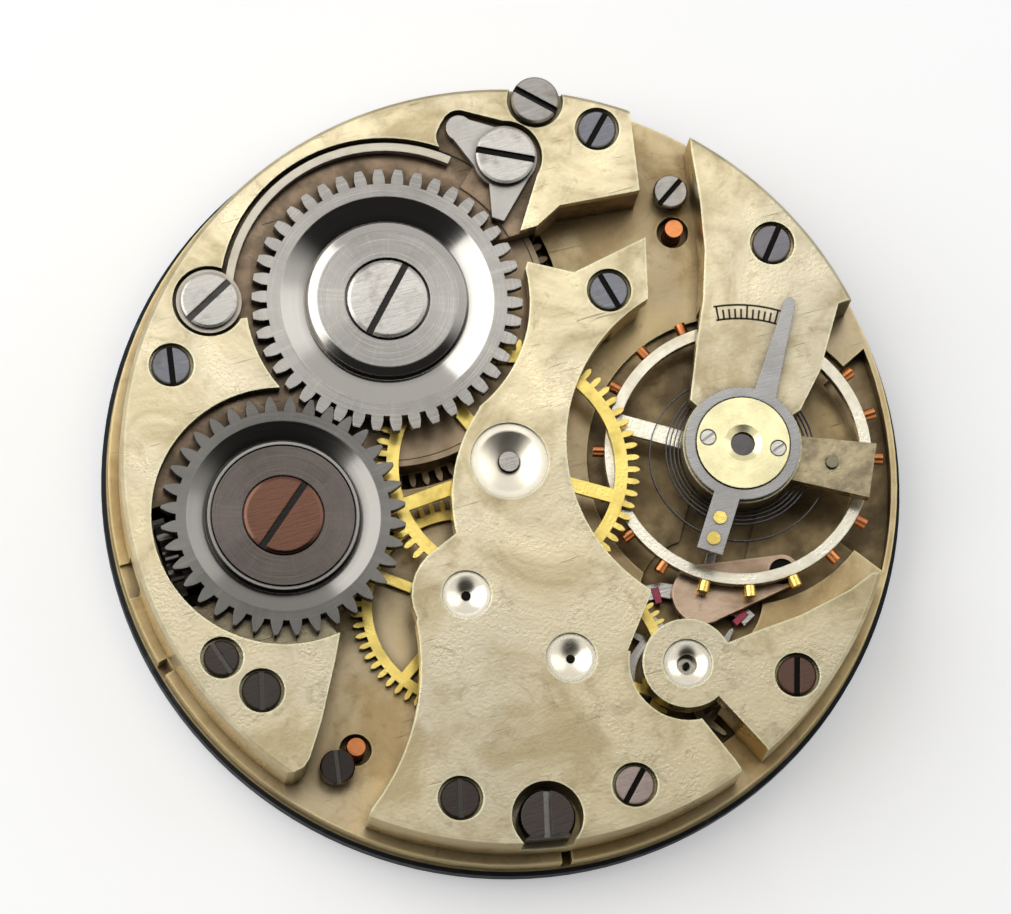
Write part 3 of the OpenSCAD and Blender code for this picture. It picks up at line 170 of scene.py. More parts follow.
class Finish:
    """One material's node tree, with a short call for each kind of node that the finishes share."""

    def __init__(self, name, centre=(0.0, 0.0)):
        self.material = bpy.data.materials.new(name)
        self.material.use_nodes = True
        self.tree = self.material.node_tree
        self.tree.nodes.clear()
        self.out = self.tree.nodes.new("ShaderNodeOutputMaterial")
        self.shader = self.tree.nodes.new("ShaderNodeBsdfPrincipled")
        self.tree.links.new(self.shader.outputs["BSDF"], self.out.inputs["Surface"])
        place = self.tree.nodes.new("ShaderNodeTexCoord")
        self.place = self.mapped(place.outputs["Object"], (-centre[0], -centre[1], 0.0), (1000.0,) * 3)
        parts = self.add("ShaderNodeSeparateXYZ", {"Vector": self.place})
        self.x, self.y, self.z = parts.outputs["X"], parts.outputs["Y"], parts.outputs["Z"]

    def add(self, kind, inputs=None, **settings):
        """A node with its settings and its inputs, each a constant or another node's output."""
        node = self.tree.nodes.new(kind)
        for key, value in settings.items():
            setattr(node, key, value)
        for key, value in (inputs or {}).items():
            self.put(node.inputs[key], value)
        return node

    def put(self, socket, value):
        """Links an output to a socket, or sets the socket's constant."""
        if isinstance(value, bpy.types.NodeSocket):
            self.tree.links.new(value, socket)
        elif socket.type == "RGBA" and len(value) == 3:
            socket.default_value = (*value, 1.0)
        else:
            socket.default_value = value

    def mapped(self, vector, shift, scale, turn=(0.0, 0.0, 0.0)):
        """The vector scaled, turned and then shifted. Shifts are in millimetres where the scale is 1000."""
        node = self.add("ShaderNodeMapping", {"Vector": vector, "Location": shift, "Rotation": turn,
                                              "Scale": scale})
        return node.outputs["Vector"]

    def math(self, kind, a, b=0.0, clamp=False):
        """One arithmetic step."""
        node = self.add("ShaderNodeMath", {0: a, 1: b}, operation=kind, use_clamp=clamp)
        return node.outputs["Value"]

    def times(self, a, b):
        """The product of two values."""
        return self.math("MULTIPLY", a, b)

    def rest(self, value):
        """What is left of 1 after a value."""
        return self.math("SUBTRACT", 1.0, value)

    def step(self, value, low, high):
        """0 below low, 1 above high and a smooth rise between them."""
        node = self.add("ShaderNodeMapRange", {"Value": value, "From Min": low, "From Max": high},
                        interpolation_type="SMOOTHSTEP")
        return node.outputs["Result"]

    def span(self, value, low, high, to_low, to_high):
        """A straight change from one range of values to another."""
        node = self.add("ShaderNodeMapRange", {"Value": value, "From Min": low, "From Max": high,
                                               "To Min": to_low, "To Max": to_high})
        return node.outputs["Result"]

    def noise(self, scale, detail=3.0, rough=0.55, vector=None, warp=0.0):
        """Cloudy values from 0 to 1, scale clouds to the millimetre."""
        node = self.add("ShaderNodeTexNoise", {"Vector": vector or self.place, "Scale": scale, "Detail": detail,
                                               "Roughness": rough, "Distortion": warp})
        return node.outputs["Fac"]

    def blend(self, amount, first, second):
        """A colour between two others."""
        node = self.add("ShaderNodeMix", {0: amount, 6: first, 7: second}, data_type="RGBA")
        return node.outputs[2]

    def band(self, value, low, high, soft):
        """1 between low and high, 0 outside, with soft edges."""
        above = self.step(value, low - soft, low + soft)
        return self.times(above, self.rest(self.step(value, high - soft, high + soft)))

    def radius(self, x=0.0, y=0.0):
        """Distance from the upright axis through a point in the centre's frame."""
        dx, dy = self.math("SUBTRACT", self.x, x), self.math("SUBTRACT", self.y, y)
        return self.math("SQRT", self.math("ADD", self.times(dx, dx), self.times(dy, dy)))

    def angle(self):
        """Angle round the centre's upright axis, in radians."""
        return self.math("ARCTAN2", self.y, self.x)

    def scratches(self, turn, close):
        """Thin lines along one direction: noise stretched along the line, kept only near its peaks."""
        drawn = self.mapped(self.place, (0, 0, 0), (0.35, close, 0.35), (0, 0, turn))
        lines = self.noise(1.0, 2.0, 0.5, drawn, 0.3)
        return self.step(lines, 0.70, 0.76)

    def wall(self):
        """1 on upright faces and 0 on level ones."""
        normal = self.add("ShaderNodeNewGeometry").outputs["Normal"]
        up = self.math("ABSOLUTE", self.add("ShaderNodeSeparateXYZ", {"Vector": normal}).outputs["Z"])
        return self.rest(self.step(up, 0.3, 0.8))

    def corner_shade(self, reach, low=0.25, high=0.85):
        """1 deep in a corner and 0 in the open, within a reach in metres: the mask for painted shade in corners."""
        node = self.add("ShaderNodeAmbientOcclusion", {"Distance": reach}, samples=2)
        return self.rest(self.step(node.outputs["AO"], low, high))

    def near(self, spots):
        """1 within any of the round spots (x, y, radius) and 0 outside them."""
        total = None
        for x, y, r in spots:
            inside = self.rest(self.step(self.radius(x, y), r - 0.03, r + 0.03))
            total = inside if total is None else self.math("MAXIMUM", total, inside)
        return total

    def edge(self, reach, count):
        """1 along the edges of the piece, within a reach in metres, and 0 on its faces, from a count of samples."""
        soft = self.add("ShaderNodeBevel", {"Radius": reach}, samples=count).outputs["Normal"]
        flat = self.add("ShaderNodeNewGeometry").outputs["Normal"]
        same = self.add("ShaderNodeVectorMath", {0: soft, 1: flat}, operation="DOT_PRODUCT").outputs["Value"]
        return self.rest(self.step(same, 0.80, 0.985))

    def bump(self, height, depth, round_edge=0.0):
        """Small relief from a height between 0 and 1, depth in millimetres, over edges rounded by a radius in
        metres."""
        node = self.add("ShaderNodeBump", {"Height": height, "Distance": depth / 1000.0, "Strength": 1.0})
        if round_edge:
            edge = self.add("ShaderNodeBevel", {"Radius": round_edge}, samples=2)
            self.put(node.inputs["Normal"], edge.outputs["Normal"])
        self.put(self.shader.inputs["Normal"], node.outputs["Normal"])

    def fed(self, key):
        """What feeds one of the shader's inputs so far."""
        return self.shader.inputs[key].links[0].from_socket

    def cover(self, amount, tone):
        """Lays a colour over the base colour so far."""
        self.put(self.shader.inputs["Base Color"], self.blend(amount, self.fed("Base Color"), tone))

    def set(self, base, rough, metallic=1.0):
        """The shader's main inputs."""
        self.put(self.shader.inputs["Base Color"], base)
        self.put(self.shader.inputs["Roughness"], rough)
        self.put(self.shader.inputs["Metallic"], metallic)
        return self


def scaled(value, amount):
    """A colour made lighter or darker, with no channel above 1."""
    return tuple(min(1.0, c * amount) for c in value)


def tint(name, amount=1.0):
    """One of the sidebar's colours, made lighter or darker."""
    return scaled(getattr(bpy.context.scene.movement_colours, name), amount)


def plated(name, base, worn, edge, rough=0.42, shift=0.0, sinks=(), floor=None):
    """Frosted plating: cloudy stain, dark specks, crossing scratches, yellow walls, a painted highlight along the
    edges and painted shade in the corners. Shift moves the clouds, so that no two pieces match. Sinks are polished
    spots (x, y, radius) with a painted highlight, and floor is the height below which a brown film lies, with
    painted shade in its corners."""
    f = Finish(name)
    spread = f.mapped(f.place, (shift, 1.7 * shift, 0.0), (1.0, 1.0, 1.0))
    cloud = f.noise(0.22, 5.0, 0.62, spread, 0.6)
    fine = f.noise(5.5, 3.0, 0.6, spread)
    patch = f.noise(0.10, 3.0, 0.5, spread)
    stain = f.step(cloud, 0.44, 0.66)
    spots = f.step(f.noise(1.3, 2.0, 0.5, spread), 0.68, 0.78)
    lines = f.math("MAXIMUM", f.scratches(0.5 + shift, 9.0), f.scratches(-0.9 + shift, 7.0))
    grey = sum(base) / 3.0
    cool = tuple(0.70 * c + 0.22 * grey for c in base)
    tone = f.blend(f.step(patch, 0.38, 0.62), cool, base)
    tone = f.blend(f.times(stain, 0.8), tone, worn)
    smudge = f.step(f.noise(0.55, 6.0, 0.68, spread, 1.2), 0.52, 0.70)
    tone = f.blend(f.times(smudge, 0.45), tone, scaled(worn, 0.62))
    tone = f.blend(f.times(spots, 0.35), tone, scaled(worn, 0.45))
    tone = f.blend(f.times(fine, 0.22), tone, scaled(base, 1.25))
    tone = f.blend(f.times(lines, 0.40), tone, scaled(base, 0.42))
    creep = f.times(f.edge(0.0009, 2), f.step(f.noise(0.7, 4.0, 0.65, spread, 0.8), 0.38, 0.62))
    tone = f.blend(f.times(creep, 0.55), tone, scaled(worn, 0.7))
    tone = f.blend(f.times(f.wall(), 0.8), tone, edge)
    # Painted highlight: the edges are lightened to stand for the light that their rounded bevels catch.
    rim_highlight = f.edge(0.00022, 5)
    tone = f.blend(f.times(rim_highlight, 0.85), tone, scaled(base, 1.6))
    matte = f.math("ADD", f.span(cloud, 0.3, 0.7, rough - 0.08, rough + 0.10), f.times(lines, 0.1))
    relief = f.math("SUBTRACT", fine, f.times(lines, 0.8))
    if sinks:
        # The sinks are polished, with lower roughness, and are lightened towards white as a painted highlight.
        cup_polish_and_highlight = f.near(sinks)
        tone = f.blend(f.times(cup_polish_and_highlight, 0.8), tone, (1.0, 0.93, 0.78))
        matte = f.times(matte, f.span(cup_polish_and_highlight, 0.0, 1.0, 1.0, 0.85))
        relief = f.times(relief, f.rest(cup_polish_and_highlight))
    if floor:
        film = f.times(f.rest(f.step(f.z, floor, floor + 0.04)), f.rest(f.step(f.radius(), *RECESS_ROUND)))
        brown = f.blend(f.step(f.noise(0.8, 3.0), 0.35, 0.65), (0.36, 0.25, 0.17), (0.13, 0.09, 0.06))
        brown = f.blend(f.step(f.y, -5.5, -2.0), scaled(base, 0.8), brown)
        tone = f.blend(f.times(film, 0.9), tone, brown)
        # Painted shade: the corners of the recess floor go near-black.
        floor_shade = f.times(film, f.corner_shade(0.0012, 0.2, 0.8))
        tone = f.blend(f.times(floor_shade, 0.9), tone, (0.016, 0.012, 0.009))
    # Painted shade: dark brown in every corner of the plating.
    tone = f.blend(f.times(f.corner_shade(0.0006), 0.8), tone, (0.035, 0.026, 0.016))
    f.set(tone, matte)
    f.bump(relief, 0.006, 0.00013)
    return f


def grained(name, centre, base, film, rough=0.30, dish=None, gloss=0.38):
    """Turned steel: fine rings round the centre, rays on the flat, a film in clouds, and painted shade on the
    upright walls and in the corners. Dish is a polished band between two radii with a painted highlight, and gloss
    the share of the roughness that it keeps."""
    f = Finish(name, centre)
    r, a = f.radius(), f.angle()
    ring_place = f.add("ShaderNodeCombineXYZ", {"X": f.times(r, 9.0), "Y": f.times(a, 0.8)})
    rings = f.noise(1.0, 4.0, 0.65, ring_place.outputs["Vector"])
    ray_place = f.add("ShaderNodeCombineXYZ", {"X": f.times(r, 0.25), "Y": f.times(a, 16.0)})
    rays = f.noise(1.0, 3.0, 0.6, ray_place.outputs["Vector"])
    cloud = f.noise(0.45, 4.0, 0.6)
    tone = f.blend(f.times(f.step(cloud, 0.42, 0.75), 0.6), base, film)
    tone = f.blend(f.times(rings, 0.35), tone, scaled(base, 0.55))
    tone = f.blend(f.times(f.step(rays, 0.5, 0.8), 0.35), tone, scaled(base, 1.5))
    matte = f.span(rings, 0.2, 0.8, rough - 0.07, rough + 0.09)
    relief = f.math("ADD", rings, f.times(rays, 0.3))
    if dish:
        # The dish is polished, with lower roughness, and is lightened as a painted highlight.
        polish_and_highlight = f.band(r, dish[0], dish[1], 0.03)
        tone = f.blend(f.times(polish_and_highlight, 0.8), tone, scaled(base, 1.35))
        matte = f.times(matte, f.span(polish_and_highlight, 0.0, 1.0, 1.0, gloss))
        relief = f.times(relief, f.span(polish_and_highlight, 0.0, 1.0, 1.0, 0.15))
    # Painted shade: the upright faces are darkened.
    tone = f.blend(f.times(f.wall(), 0.55), tone, scaled(base, 0.35))
    # Painted shade: near-black in the corners.
    tone = f.blend(f.times(f.corner_shade(0.0005), 0.8), tone, (0.018, 0.014, 0.011))
    f.set(tone, matte)
    f.shader.inputs["Anisotropic"].default_value = 0.65
    f.shader.inputs["Anisotropic Rotation"].default_value = 0.25
    tangent = f.add("ShaderNodeTangent", direction_type="RADIAL", axis="Z")
    f.put(f.shader.inputs["Tangent"], tangent.outputs["Tangent"])
    f.bump(relief, 0.004, 0.00006)
    return f


def screw_steel(name, base, far, axis, low, high, slot_floor, rough=0.30, rise=0.0, slots=(0.010, 0.010), top=None):
    """Tempered screw heads: a tint that changes from base to far between two places on an axis, brushed tops, and
    slots filled with painted shade in the two shades that slots gives. Rise is how much higher the slots of the
    screws in the upper half lie, and top is another tint for those screws."""
    f = Finish(name)
    along = f.step(f.x if axis == "x" else f.y, low, high)
    brush = f.noise(1.0, 3.0, 0.6, f.mapped(f.place, (0, 0, 0), (1.2, 12.0, 1.2), (0, 0, 0.8)))
    cloud = f.noise(0.9, 3.0, 0.6)
    tone = f.blend(along, base, far)
    if top:
        tone = f.blend(f.step(f.y, -2.0, 2.0), tone, top)
    tone = f.blend(f.times(brush, 0.35), tone, scaled(base, 1.7))
    tone = f.blend(f.times(f.step(cloud, 0.5, 0.8), 0.5), tone, (0.09, 0.06, 0.045))
    level = f.math("SUBTRACT", f.z, f.times(f.step(f.y, -0.5, 0.5), rise)) if rise else f.z
    # Painted shade: below the slot floor the head is painted near-black, in the slot and round the head in its
    # sink.
    deep_shade = f.rest(f.step(level, slot_floor, slot_floor + 0.05))
    near_slot_shade, far_slot_shade = ((shade, 0.92 * shade, 0.84 * shade) for shade in slots)
    tone = f.blend(deep_shade, tone, f.blend(along, near_slot_shade, far_slot_shade))
    f.set(tone, f.span(brush, 0.2, 0.8, rough - 0.06, rough + 0.08))
    f.bump(brush, 0.004, 0.00008)
    return f


def brassy(name, centre, base, worn, rough=0.30, relief=0.004):
    """Brass wheel: warm metal with tarnish in clouds, fine rings and painted shade in the corners and between the
    teeth.
    """
    f = Finish(name, centre)
    rings = f.noise(1.0, 3.0, 0.6, f.add("ShaderNodeCombineXYZ", {
        "X": f.times(f.radius(), 8.0), "Y": f.angle()}).outputs["Vector"])
    cloud = f.noise(0.5, 4.0, 0.6)
    fine = f.noise(6.0, 2.0, 0.5)
    tone = f.blend(f.times(f.step(cloud, 0.42, 0.72), 0.65), base, worn)
    tone = f.blend(f.times(rings, 0.25), tone, scaled(base, 1.3))
    # Painted shade: dark brown in the corners and between the teeth.
    tone = f.blend(f.times(f.corner_shade(0.0004), 0.7), tone, scaled(worn, 0.18))
    f.set(tone, f.span(cloud, 0.3, 0.7, rough - 0.05, rough + 0.12))
    f.bump(f.math("ADD", fine, rings), relief, 0.00005)
    return f


def plain_steel(name, base, film, rough=0.30, relief=0.004):
    """Polished steel with a thin film in clouds, fine straight graining and painted shade in the corners."""
    f = Finish(name)
    grain = f.noise(1.0, 3.0, 0.6, f.mapped(f.place, (0, 0, 0), (0.8, 11.0, 0.8), (0, 0, 0.6)))
    cloud = f.noise(0.7, 4.0, 0.6)
    tone = f.blend(f.times(f.step(cloud, 0.40, 0.75), 0.6), base, film)
    tone = f.blend(f.times(grain, 0.3), tone, scaled(base, 1.4))
    # Painted shade: near-black in the corners.
    tone = f.blend(f.times(f.corner_shade(0.0004), 0.7), tone, (0.02, 0.016, 0.012))
    f.set(tone, f.span(grain, 0.2, 0.8, rough - 0.06, rough + 0.08))
    f.bump(grain, relief, 0.00006)
    return f


def jewel(name):
    """Polished ruby with faint clouds inside, painted near-black as shade on its top faces."""
    f = Finish(name)
    cloud = f.noise(2.5, 2.0, 0.5)
    tone = f.blend(cloud, tint("ruby"), tint("ruby", 1.9))
    # Painted shade: jewel faces above JEWEL_TOP, the endstone seen in the cap's hole, are painted near-black.
    f.set(f.blend(f.step(f.z, *JEWEL_TOP), tone, (0.030, 0.014, 0.010)), f.span(cloud, 0.3, 0.7, 0.05, 0.10), 0.0)
    f.shader.inputs["Coat Weight"].default_value = 0.6
    f.bump(cloud, 0.001)
    return f


def wear(finish, *nodes):
    """Puts one finish on the named CAD pieces."""
    for name in nodes:
        slots = NODES[name].data.materials
        slots.clear()
        slots.append(finish.material)


def new_piece(name, points, faces, body, finish):
    """An object at the origin from an array of points in metres, riding on a body."""
    mesh = bpy.data.meshes.new(name)
    mesh.from_pydata(points.reshape(-1, 3).tolist(), [], faces)
    mesh.validate()
    piece = bpy.data.objects.new(name, mesh)
    bpy.context.scene.collection.objects.link(piece)
    mesh.materials.append(finish.material)
    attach(piece, body)
    return piece


def strip(line, half, low, high):
    """A flat strip stood on edge: the corners (line + or - half a thickness sideways, low or high) carried along a
    line. Side is the line's own direction turned a quarter turn. Returns points (n, 4, 3) and faces with closed
    ends."""
    along = np.gradient(line, axis=0)
    along /= np.linalg.norm(along, axis=1, keepdims=True)
    side = np.stack([-along[:, 1], along[:, 0]], axis=1)
    count = len(line)
    points = np.empty((count, 4, 3))
    points[:, 0, :2] = points[:, 3, :2] = line - half * side
    points[:, 1, :2] = points[:, 2, :2] = line + half * side
    points[:, :2, 2] = low
    points[:, 2:, 2] = high
    i = np.arange(count - 1)[:, None] * 4
    k = np.arange(4)[None, :]
    quads = np.stack([i + k, i + 4 + k, i + 4 + (k + 1) % 4, i + (k + 1) % 4], axis=-1).reshape(-1, 4)
    ends = [[0, 1, 2, 3], [4 * count - 1, 4 * count - 2, 4 * count - 3, 4 * count - 4]]
    return points, quads.tolist() + ends


def tiles(first, last, width, low, high):
    """Thin bars between pairs of points: each bar's corners are its two ends moved half a width to either side,
    at the low and the high level. first and last are (n, 2), width is a number or (n,)."""
    way = last - first
    way /= np.linalg.norm(way, axis=1, keepdims=True)
    side = np.stack([-way[:, 1], way[:, 0]], axis=1) * (np.broadcast_to(width, len(first))[:, None] / 2)
    ring = np.stack([first - side, last - side, last + side, first + side], axis=1)
    points = np.empty((len(first), 2, 4, 3))
    points[..., :2] = ring[:, None]
    points[:, 0, :, 2] = low
    points[:, 1, :, 2] = high
    box = np.array([[3, 2, 1, 0], [4, 5, 6, 7], [0, 1, 5, 4], [1, 2, 6, 5], [2, 3, 7, 6], [3, 0, 4, 7]])
    faces = (np.arange(len(first))[:, None, None] * 8 + box[None]).reshape(-1, 4)
    return points, faces.tolist()


def polar(centre, radius, angle):
    """Points at a radius and an angle in radians round a centre, in metres."""
    return np.stack([centre[0] + radius * np.cos(angle), centre[1] + radius * np.sin(angle)], axis=-1)


def sixty_marks(centre, starts, end, widths, level, depth):
    """Sixty bars round a centre, in metres: starts and widths are pairs, for each fifth bar and for the others."""
    angle = np.arange(60) * math.pi / 30
    fifth = np.arange(60) % 5 == 0
    return tiles(polar(centre, np.where(fifth, *starts), angle), polar(centre, end, angle),
                 np.where(fifth, *widths), level - depth, level + depth)


class MOVEMENT_OT_plate(Operator):
    """Finishes the main plate: worn gilt top, wells darkened with painted shade and a dark flange"""

    bl_idname = "movement.plate"
    bl_label = "Finish the main plate"

    def execute(self, context):
        f = plated("plate_gilt", tint("plate"), tint("plate_worn"), tint("gilt"), 0.40, 2.3)
        base, rough = f.fed("Base Color"), f.fed("Roughness")
        # Painted shade: the wells below WELL_LEVEL are darkened with the worn plate colour.
        deep_shade = f.rest(f.step(f.z, *WELL_LEVEL))
        inner = f.rest(f.step(f.radius(), *WELL_ROUND))
        tone = f.blend(f.times(f.times(deep_shade, inner), 0.55), base, tint("plate_worn", 0.8))
        # Painted shade: near-black under the cocks and along the bridges' walls, from a long-reach corner mask.
        tone = f.blend(f.times(f.corner_shade(0.0035, 0.06, 0.60), 0.8), tone, (0.030, 0.021, 0.012))
        # Painted shade: the balance well is painted dark in patches.
        well = f.times(f.rest(f.step(f.radius(*BALANCE), *BALANCE_WELL)), f.rest(f.step(f.z, *BALANCE_WELL_LEVEL)))
        well_shade = f.times(well, f.span(f.noise(0.35, 4.0, 0.6), 0.38, 0.62, 0.12, 0.82))
        tone = f.blend(well_shade, tone, (0.070, 0.050, 0.030))
        lip = f.step(f.radius(), *FLANGE_ROUND)
        smear = f.noise(0.6, 4.0, 0.6)
        dark = f.blend(f.step(smear, 0.55, 0.8), tint("flange"), tint("flange", 3.2))
        f.set(f.blend(lip, tone, dark), f.math("ADD", rough, f.times(lip, 0.05)))
        wear(f, "main_plate")
        return {"FINISHED"}


class MOVEMENT_OT_bridges(Operator):
    """Finishes the bridges and cocks in stained nickel"""

    bl_idname = "movement.bridges"
    bl_label = "Finish the bridges and cocks"

    def execute(self, context):
        metal = tint("nickel"), tint("nickel_worn"), tint("gilt"), 0.30
        cups = (*CENTRE, 1.92), (*THIRD, 1.2), (*FOURTH, 1.23)
        wear(plated("barrel_bridge_nickel", *metal, 0.0, floor=RECESS_FLOOR), "barrel_bridge")
        wear(plated("train_bridge_nickel", *metal, 3.1, cups), "train_bridge")
        wear(plated("escape_cock_nickel", *metal, 6.2, ((*ESCAPE, 1.2),)), "escape_cock")
        f = plated("balance_cock_nickel", *metal, 11.0)
        arm = f.rest(f.step(f.z, *STUD_ARM_LEVEL))
        brown = f.blend(f.step(f.noise(1.1, 4.0, 0.6), 0.35, 0.65), (0.46, 0.37, 0.20), (0.15, 0.105, 0.055))
        f.cover(f.times(arm, 0.7), brown)
        wear(f, "balance_cock")
        brass = (0.60, 0.44, 0.31), (0.36, 0.24, 0.15), (0.55, 0.40, 0.22), 0.32
        wear(plated("pallet_cock_brass", *brass, 5.0), "pallet_cock")
        return {"FINISHED"}


class MOVEMENT_OT_screws(Operator):
    """Finishes the screws of the frame, each with its own temper and a dark slot"""

    bl_idname = "movement.screws"
    bl_label = "Finish the screws"

    def execute(self, context):
        dark, grey = tint("steel_dark", 0.55), tint("blue_grey")
        wear(screw_steel("barrel_bridge_screw_steel", dark, grey, "y", -6.0, 6.0, SLOT_FLOOR,
                         slots=(0.075, 0.010)), "barrel_bridge_screws")
        wear(screw_steel("train_bridge_screw_steel", dark, tint("rosy"), "x", -4.0, 0.0, SLOT_FLOOR,
                         slots=(0.075, 0.010), top=tint("blue_grey", 1.1)), "train_bridge_screws")
        wear(screw_steel("cock_screw_steel", (0.12, 0.072, 0.056), grey, "y", -6.0, 2.0, SLOT_FLOOR), "cock_screws")
        wear(screw_steel("case_screw_steel", tint("steel_dark", 0.7), tint("steel", 0.85), "y", -6.0, 6.0,
                         CASE_SLOT, rise=CASE_RISE, slots=(0.26, 0.02)), "case_screws")
        wear(screw_steel("dial_screw_steel", tint("steel_dark", 0.4), tint("steel", 1.1), "y", -4.0, 4.0,
                         DIAL_SCREW_SLOT, slots=(0.09, 0.010)), "dial_foot_screws")
        wear(screw_steel("lever_screw_steel", tint("steel_dark", 0.7), tint("steel_dark", 0.5), "y", -30.0, -20.0,
                         SLOT_FLOOR, slots=(0.10, 0.10)), "setting_lever_screw")
        return {"FINISHED"}


class MOVEMENT_OT_winding(Operator):
    """Finishes the ratchet and crown wheels in turned steel"""

    bl_idname = "movement.winding"
    bl_label = "Finish the winding wheels"

    def execute(self, context):
        ratchet_dish, crown_dish, brown = (3.5, 5.28), (3.6, 4.76), (0.125, 0.062, 0.042)
        wear(grained("ratchet_steel", BARREL, tint("steel", 0.92), tint("steel", 0.65), 0.28, ratchet_dish),
             "ratchet_wheel")
        wear(grained("crown_steel", CROWN, tint("steel", 0.46), tint("steel", 0.30), 0.30, crown_dish, gloss=0.6),
             "crown_wheel")
        wear(grained("crown_core_steel", CROWN, tint("steel_dark", 1.3), tint("steel_dark", 0.8), 0.24),
             "crown_core")
        wear(screw_steel("crown_screw_steel", brown, brown, "y", 20.0, 30.0, WHEEL_SLOT, 0.20,
                         slots=(0.022, 0.022)), "crown_core_screw")
        wear(screw_steel("ratchet_screw_steel", tint("steel", 0.95), tint("steel", 1.05), "y", 9.0, 10.0,
                         WHEEL_SLOT, 0.24, slots=(0.026, 0.026)), "ratchet_screw")
        return {"FINISHED"}


class MOVEMENT_OT_click(Operator):
    """Finishes the click, its spring and their screws"""

    bl_idname = "movement.click"
    bl_label = "Finish the click work"

    def execute(self, context):
        wear(plain_steel("click_steel", tint("steel", 1.05), tint("steel", 0.7), 0.32), "click")
        wear(plain_steel("click_spring_steel", (0.56, 0.51, 0.42), (0.34, 0.29, 0.22), 0.36), "click_spring")
        heads = tint("steel"), tint("steel", 1.1), "y", 9.0, 14.0
        wear(screw_steel("click_screw_steel", *heads, CLICK_SLOT, 0.28), "click_screw")
        wear(screw_steel("spring_screw_steel", *heads, SPRING_SLOT, 0.28), "click_spring_screw")
        return {"FINISHED"}


class MOVEMENT_OT_train(Operator):
    """Finishes the barrel, the train wheels and their arbors"""

    bl_idname = "movement.train"
    bl_label = "Finish the going train"

    def execute(self, context):
        worn = (0.36, 0.24, 0.06)
        for name, centre in (("centre_wheel", CENTRE), ("third_wheel", THIRD), ("fourth_wheel", FOURTH)):
            wear(brassy(name + "_brass", centre, tint("brass"), worn, 0.28), name)
        wear(brassy("motion_brass", CENTRE, tint("brass", 0.9), worn, 0.32), "minute_wheel", "hour_wheel")
        wear(brassy("barrel_brass", BARREL, tint("barrel"), (0.16, 0.11, 0.07), 0.40),
             "barrel_drum", "barrel_cover")
        steel = plain_steel("arbor_steel", tint("steel", 0.9), tint("steel_dark"), 0.24)
        wear(steel, "barrel_arbor", "centre_arbor", "cannon_pinion")
        f = plain_steel("pivot_steel", tint("steel", 0.9), tint("steel_dark"), 0.24)
        # Painted shade: the arbor ends above PIVOT_END are painted near-black, standing for the dark pivot holes.
        f.cover(f.step(f.z, *PIVOT_END), (0.012, 0.010, 0.008))
        wear(f, "third_arbor", "fourth_arbor", "escape_arbor")
        wear(grained("escape_steel", ESCAPE, tint("steel", 1.2), tint("steel", 0.8), 0.24), "escape_wheel")
        wear(plain_steel("mainspring_steel", tint("blue_grey", 0.6), tint("steel_dark"), 0.30), "mainspring")
        return {"FINISHED"}


class MOVEMENT_OT_keyless(Operator):
    """Finishes the winding pinion, clutch and hand-setting levers"""

    bl_idname = "movement.keyless"
    bl_label = "Finish the hand setting"

    def execute(self, context):
        wear(plain_steel("keyless_steel", tint("steel", 0.45), tint("steel_dark", 0.6), 0.34), "winding_pinion",
             "clutch_wheel", "setting_lever", "yoke", "yoke_spring", "setting_wheel")
        return {"FINISHED"}


class MOVEMENT_OT_balance(Operator):
    """Finishes the balance, its screws, the pallet fork and the jewels"""

    bl_idname = "movement.balance"
    bl_label = "Finish the balance and escapement"

    def execute(self, context):
        wear(brassy("balance_nickel", BALANCE, (0.90, 0.83, 0.66), (0.58, 0.50, 0.34), 0.26), "balance_wheel")
        f = brassy("balance_screw_copper", BALANCE, tint("copper"), (0.30, 0.10, 0.04), 0.24)
        way = math.radians(GOLD_ANGLE)
        along = f.math("ADD", f.times(f.x, math.cos(way)), f.times(f.y, math.sin(way)))
        f.cover(f.step(along, *GOLD_REACH), tint("brass"))
        wear(f, "balance_screws")
        wear(brassy("collet_brass", BALANCE, tint("brass", 0.8), (0.30, 0.2, 0.06), 0.28), "collet")
        wear(plain_steel("staff_steel", tint("steel", 1.2), tint("steel", 0.7), 0.2),
             "balance_staff", "roller_table", "pallet_fork", "pallet_arbor")
        wear(jewel("ruby_jewel"), "impulse_pin", "pallet_stones", "balance_jewels")
        return {"FINISHED"}


class MOVEMENT_OT_hairspring(Operator):
    """Winds the hairspring: an outer arc from the stud, a drop and close coils to the collet"""

    bl_idname = "movement.hairspring"
    bl_label = "Wind the hairspring"

    def execute(self, context):
        s = context.scene.movement_sizes
        arc, rise, inner = 0.4, 0.35, 0.00095
        turns = arc + rise + (s.hair_radius - s.hair_drop - inner) / s.hair_step
        u = np.linspace(0.0, turns, int(turns * 90))
        k = np.clip((u - arc) / rise, 0.0, 1.0)
        radius = s.hair_radius - s.hair_drop * k * k * (3 - 2 * k) - s.hair_step * np.maximum(0.0, u - arc - rise)
        centre = np.array(BALANCE) / 1000.0
        line = polar(centre, radius, math.radians(STUD_ANGLE) - 2 * math.pi * u)
        points, faces = strip(line, s.hair_thickness / 2, s.hair_low, s.hair_high)
        finish = plain_steel("hairspring_steel", tint("blue_grey", 0.55), (0.06, 0.06, 0.10), 0.26)
        piece = new_piece("hairspring_coils", points, faces, "frame", finish)
        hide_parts("hairspring")
        wear(finish, "hairspring")
        wear(plain_steel("stud_steel", (0.28, 0.24, 0.16), tint("steel_dark"), 0.34), "hairspring_stud")
        return {"FINISHED"}


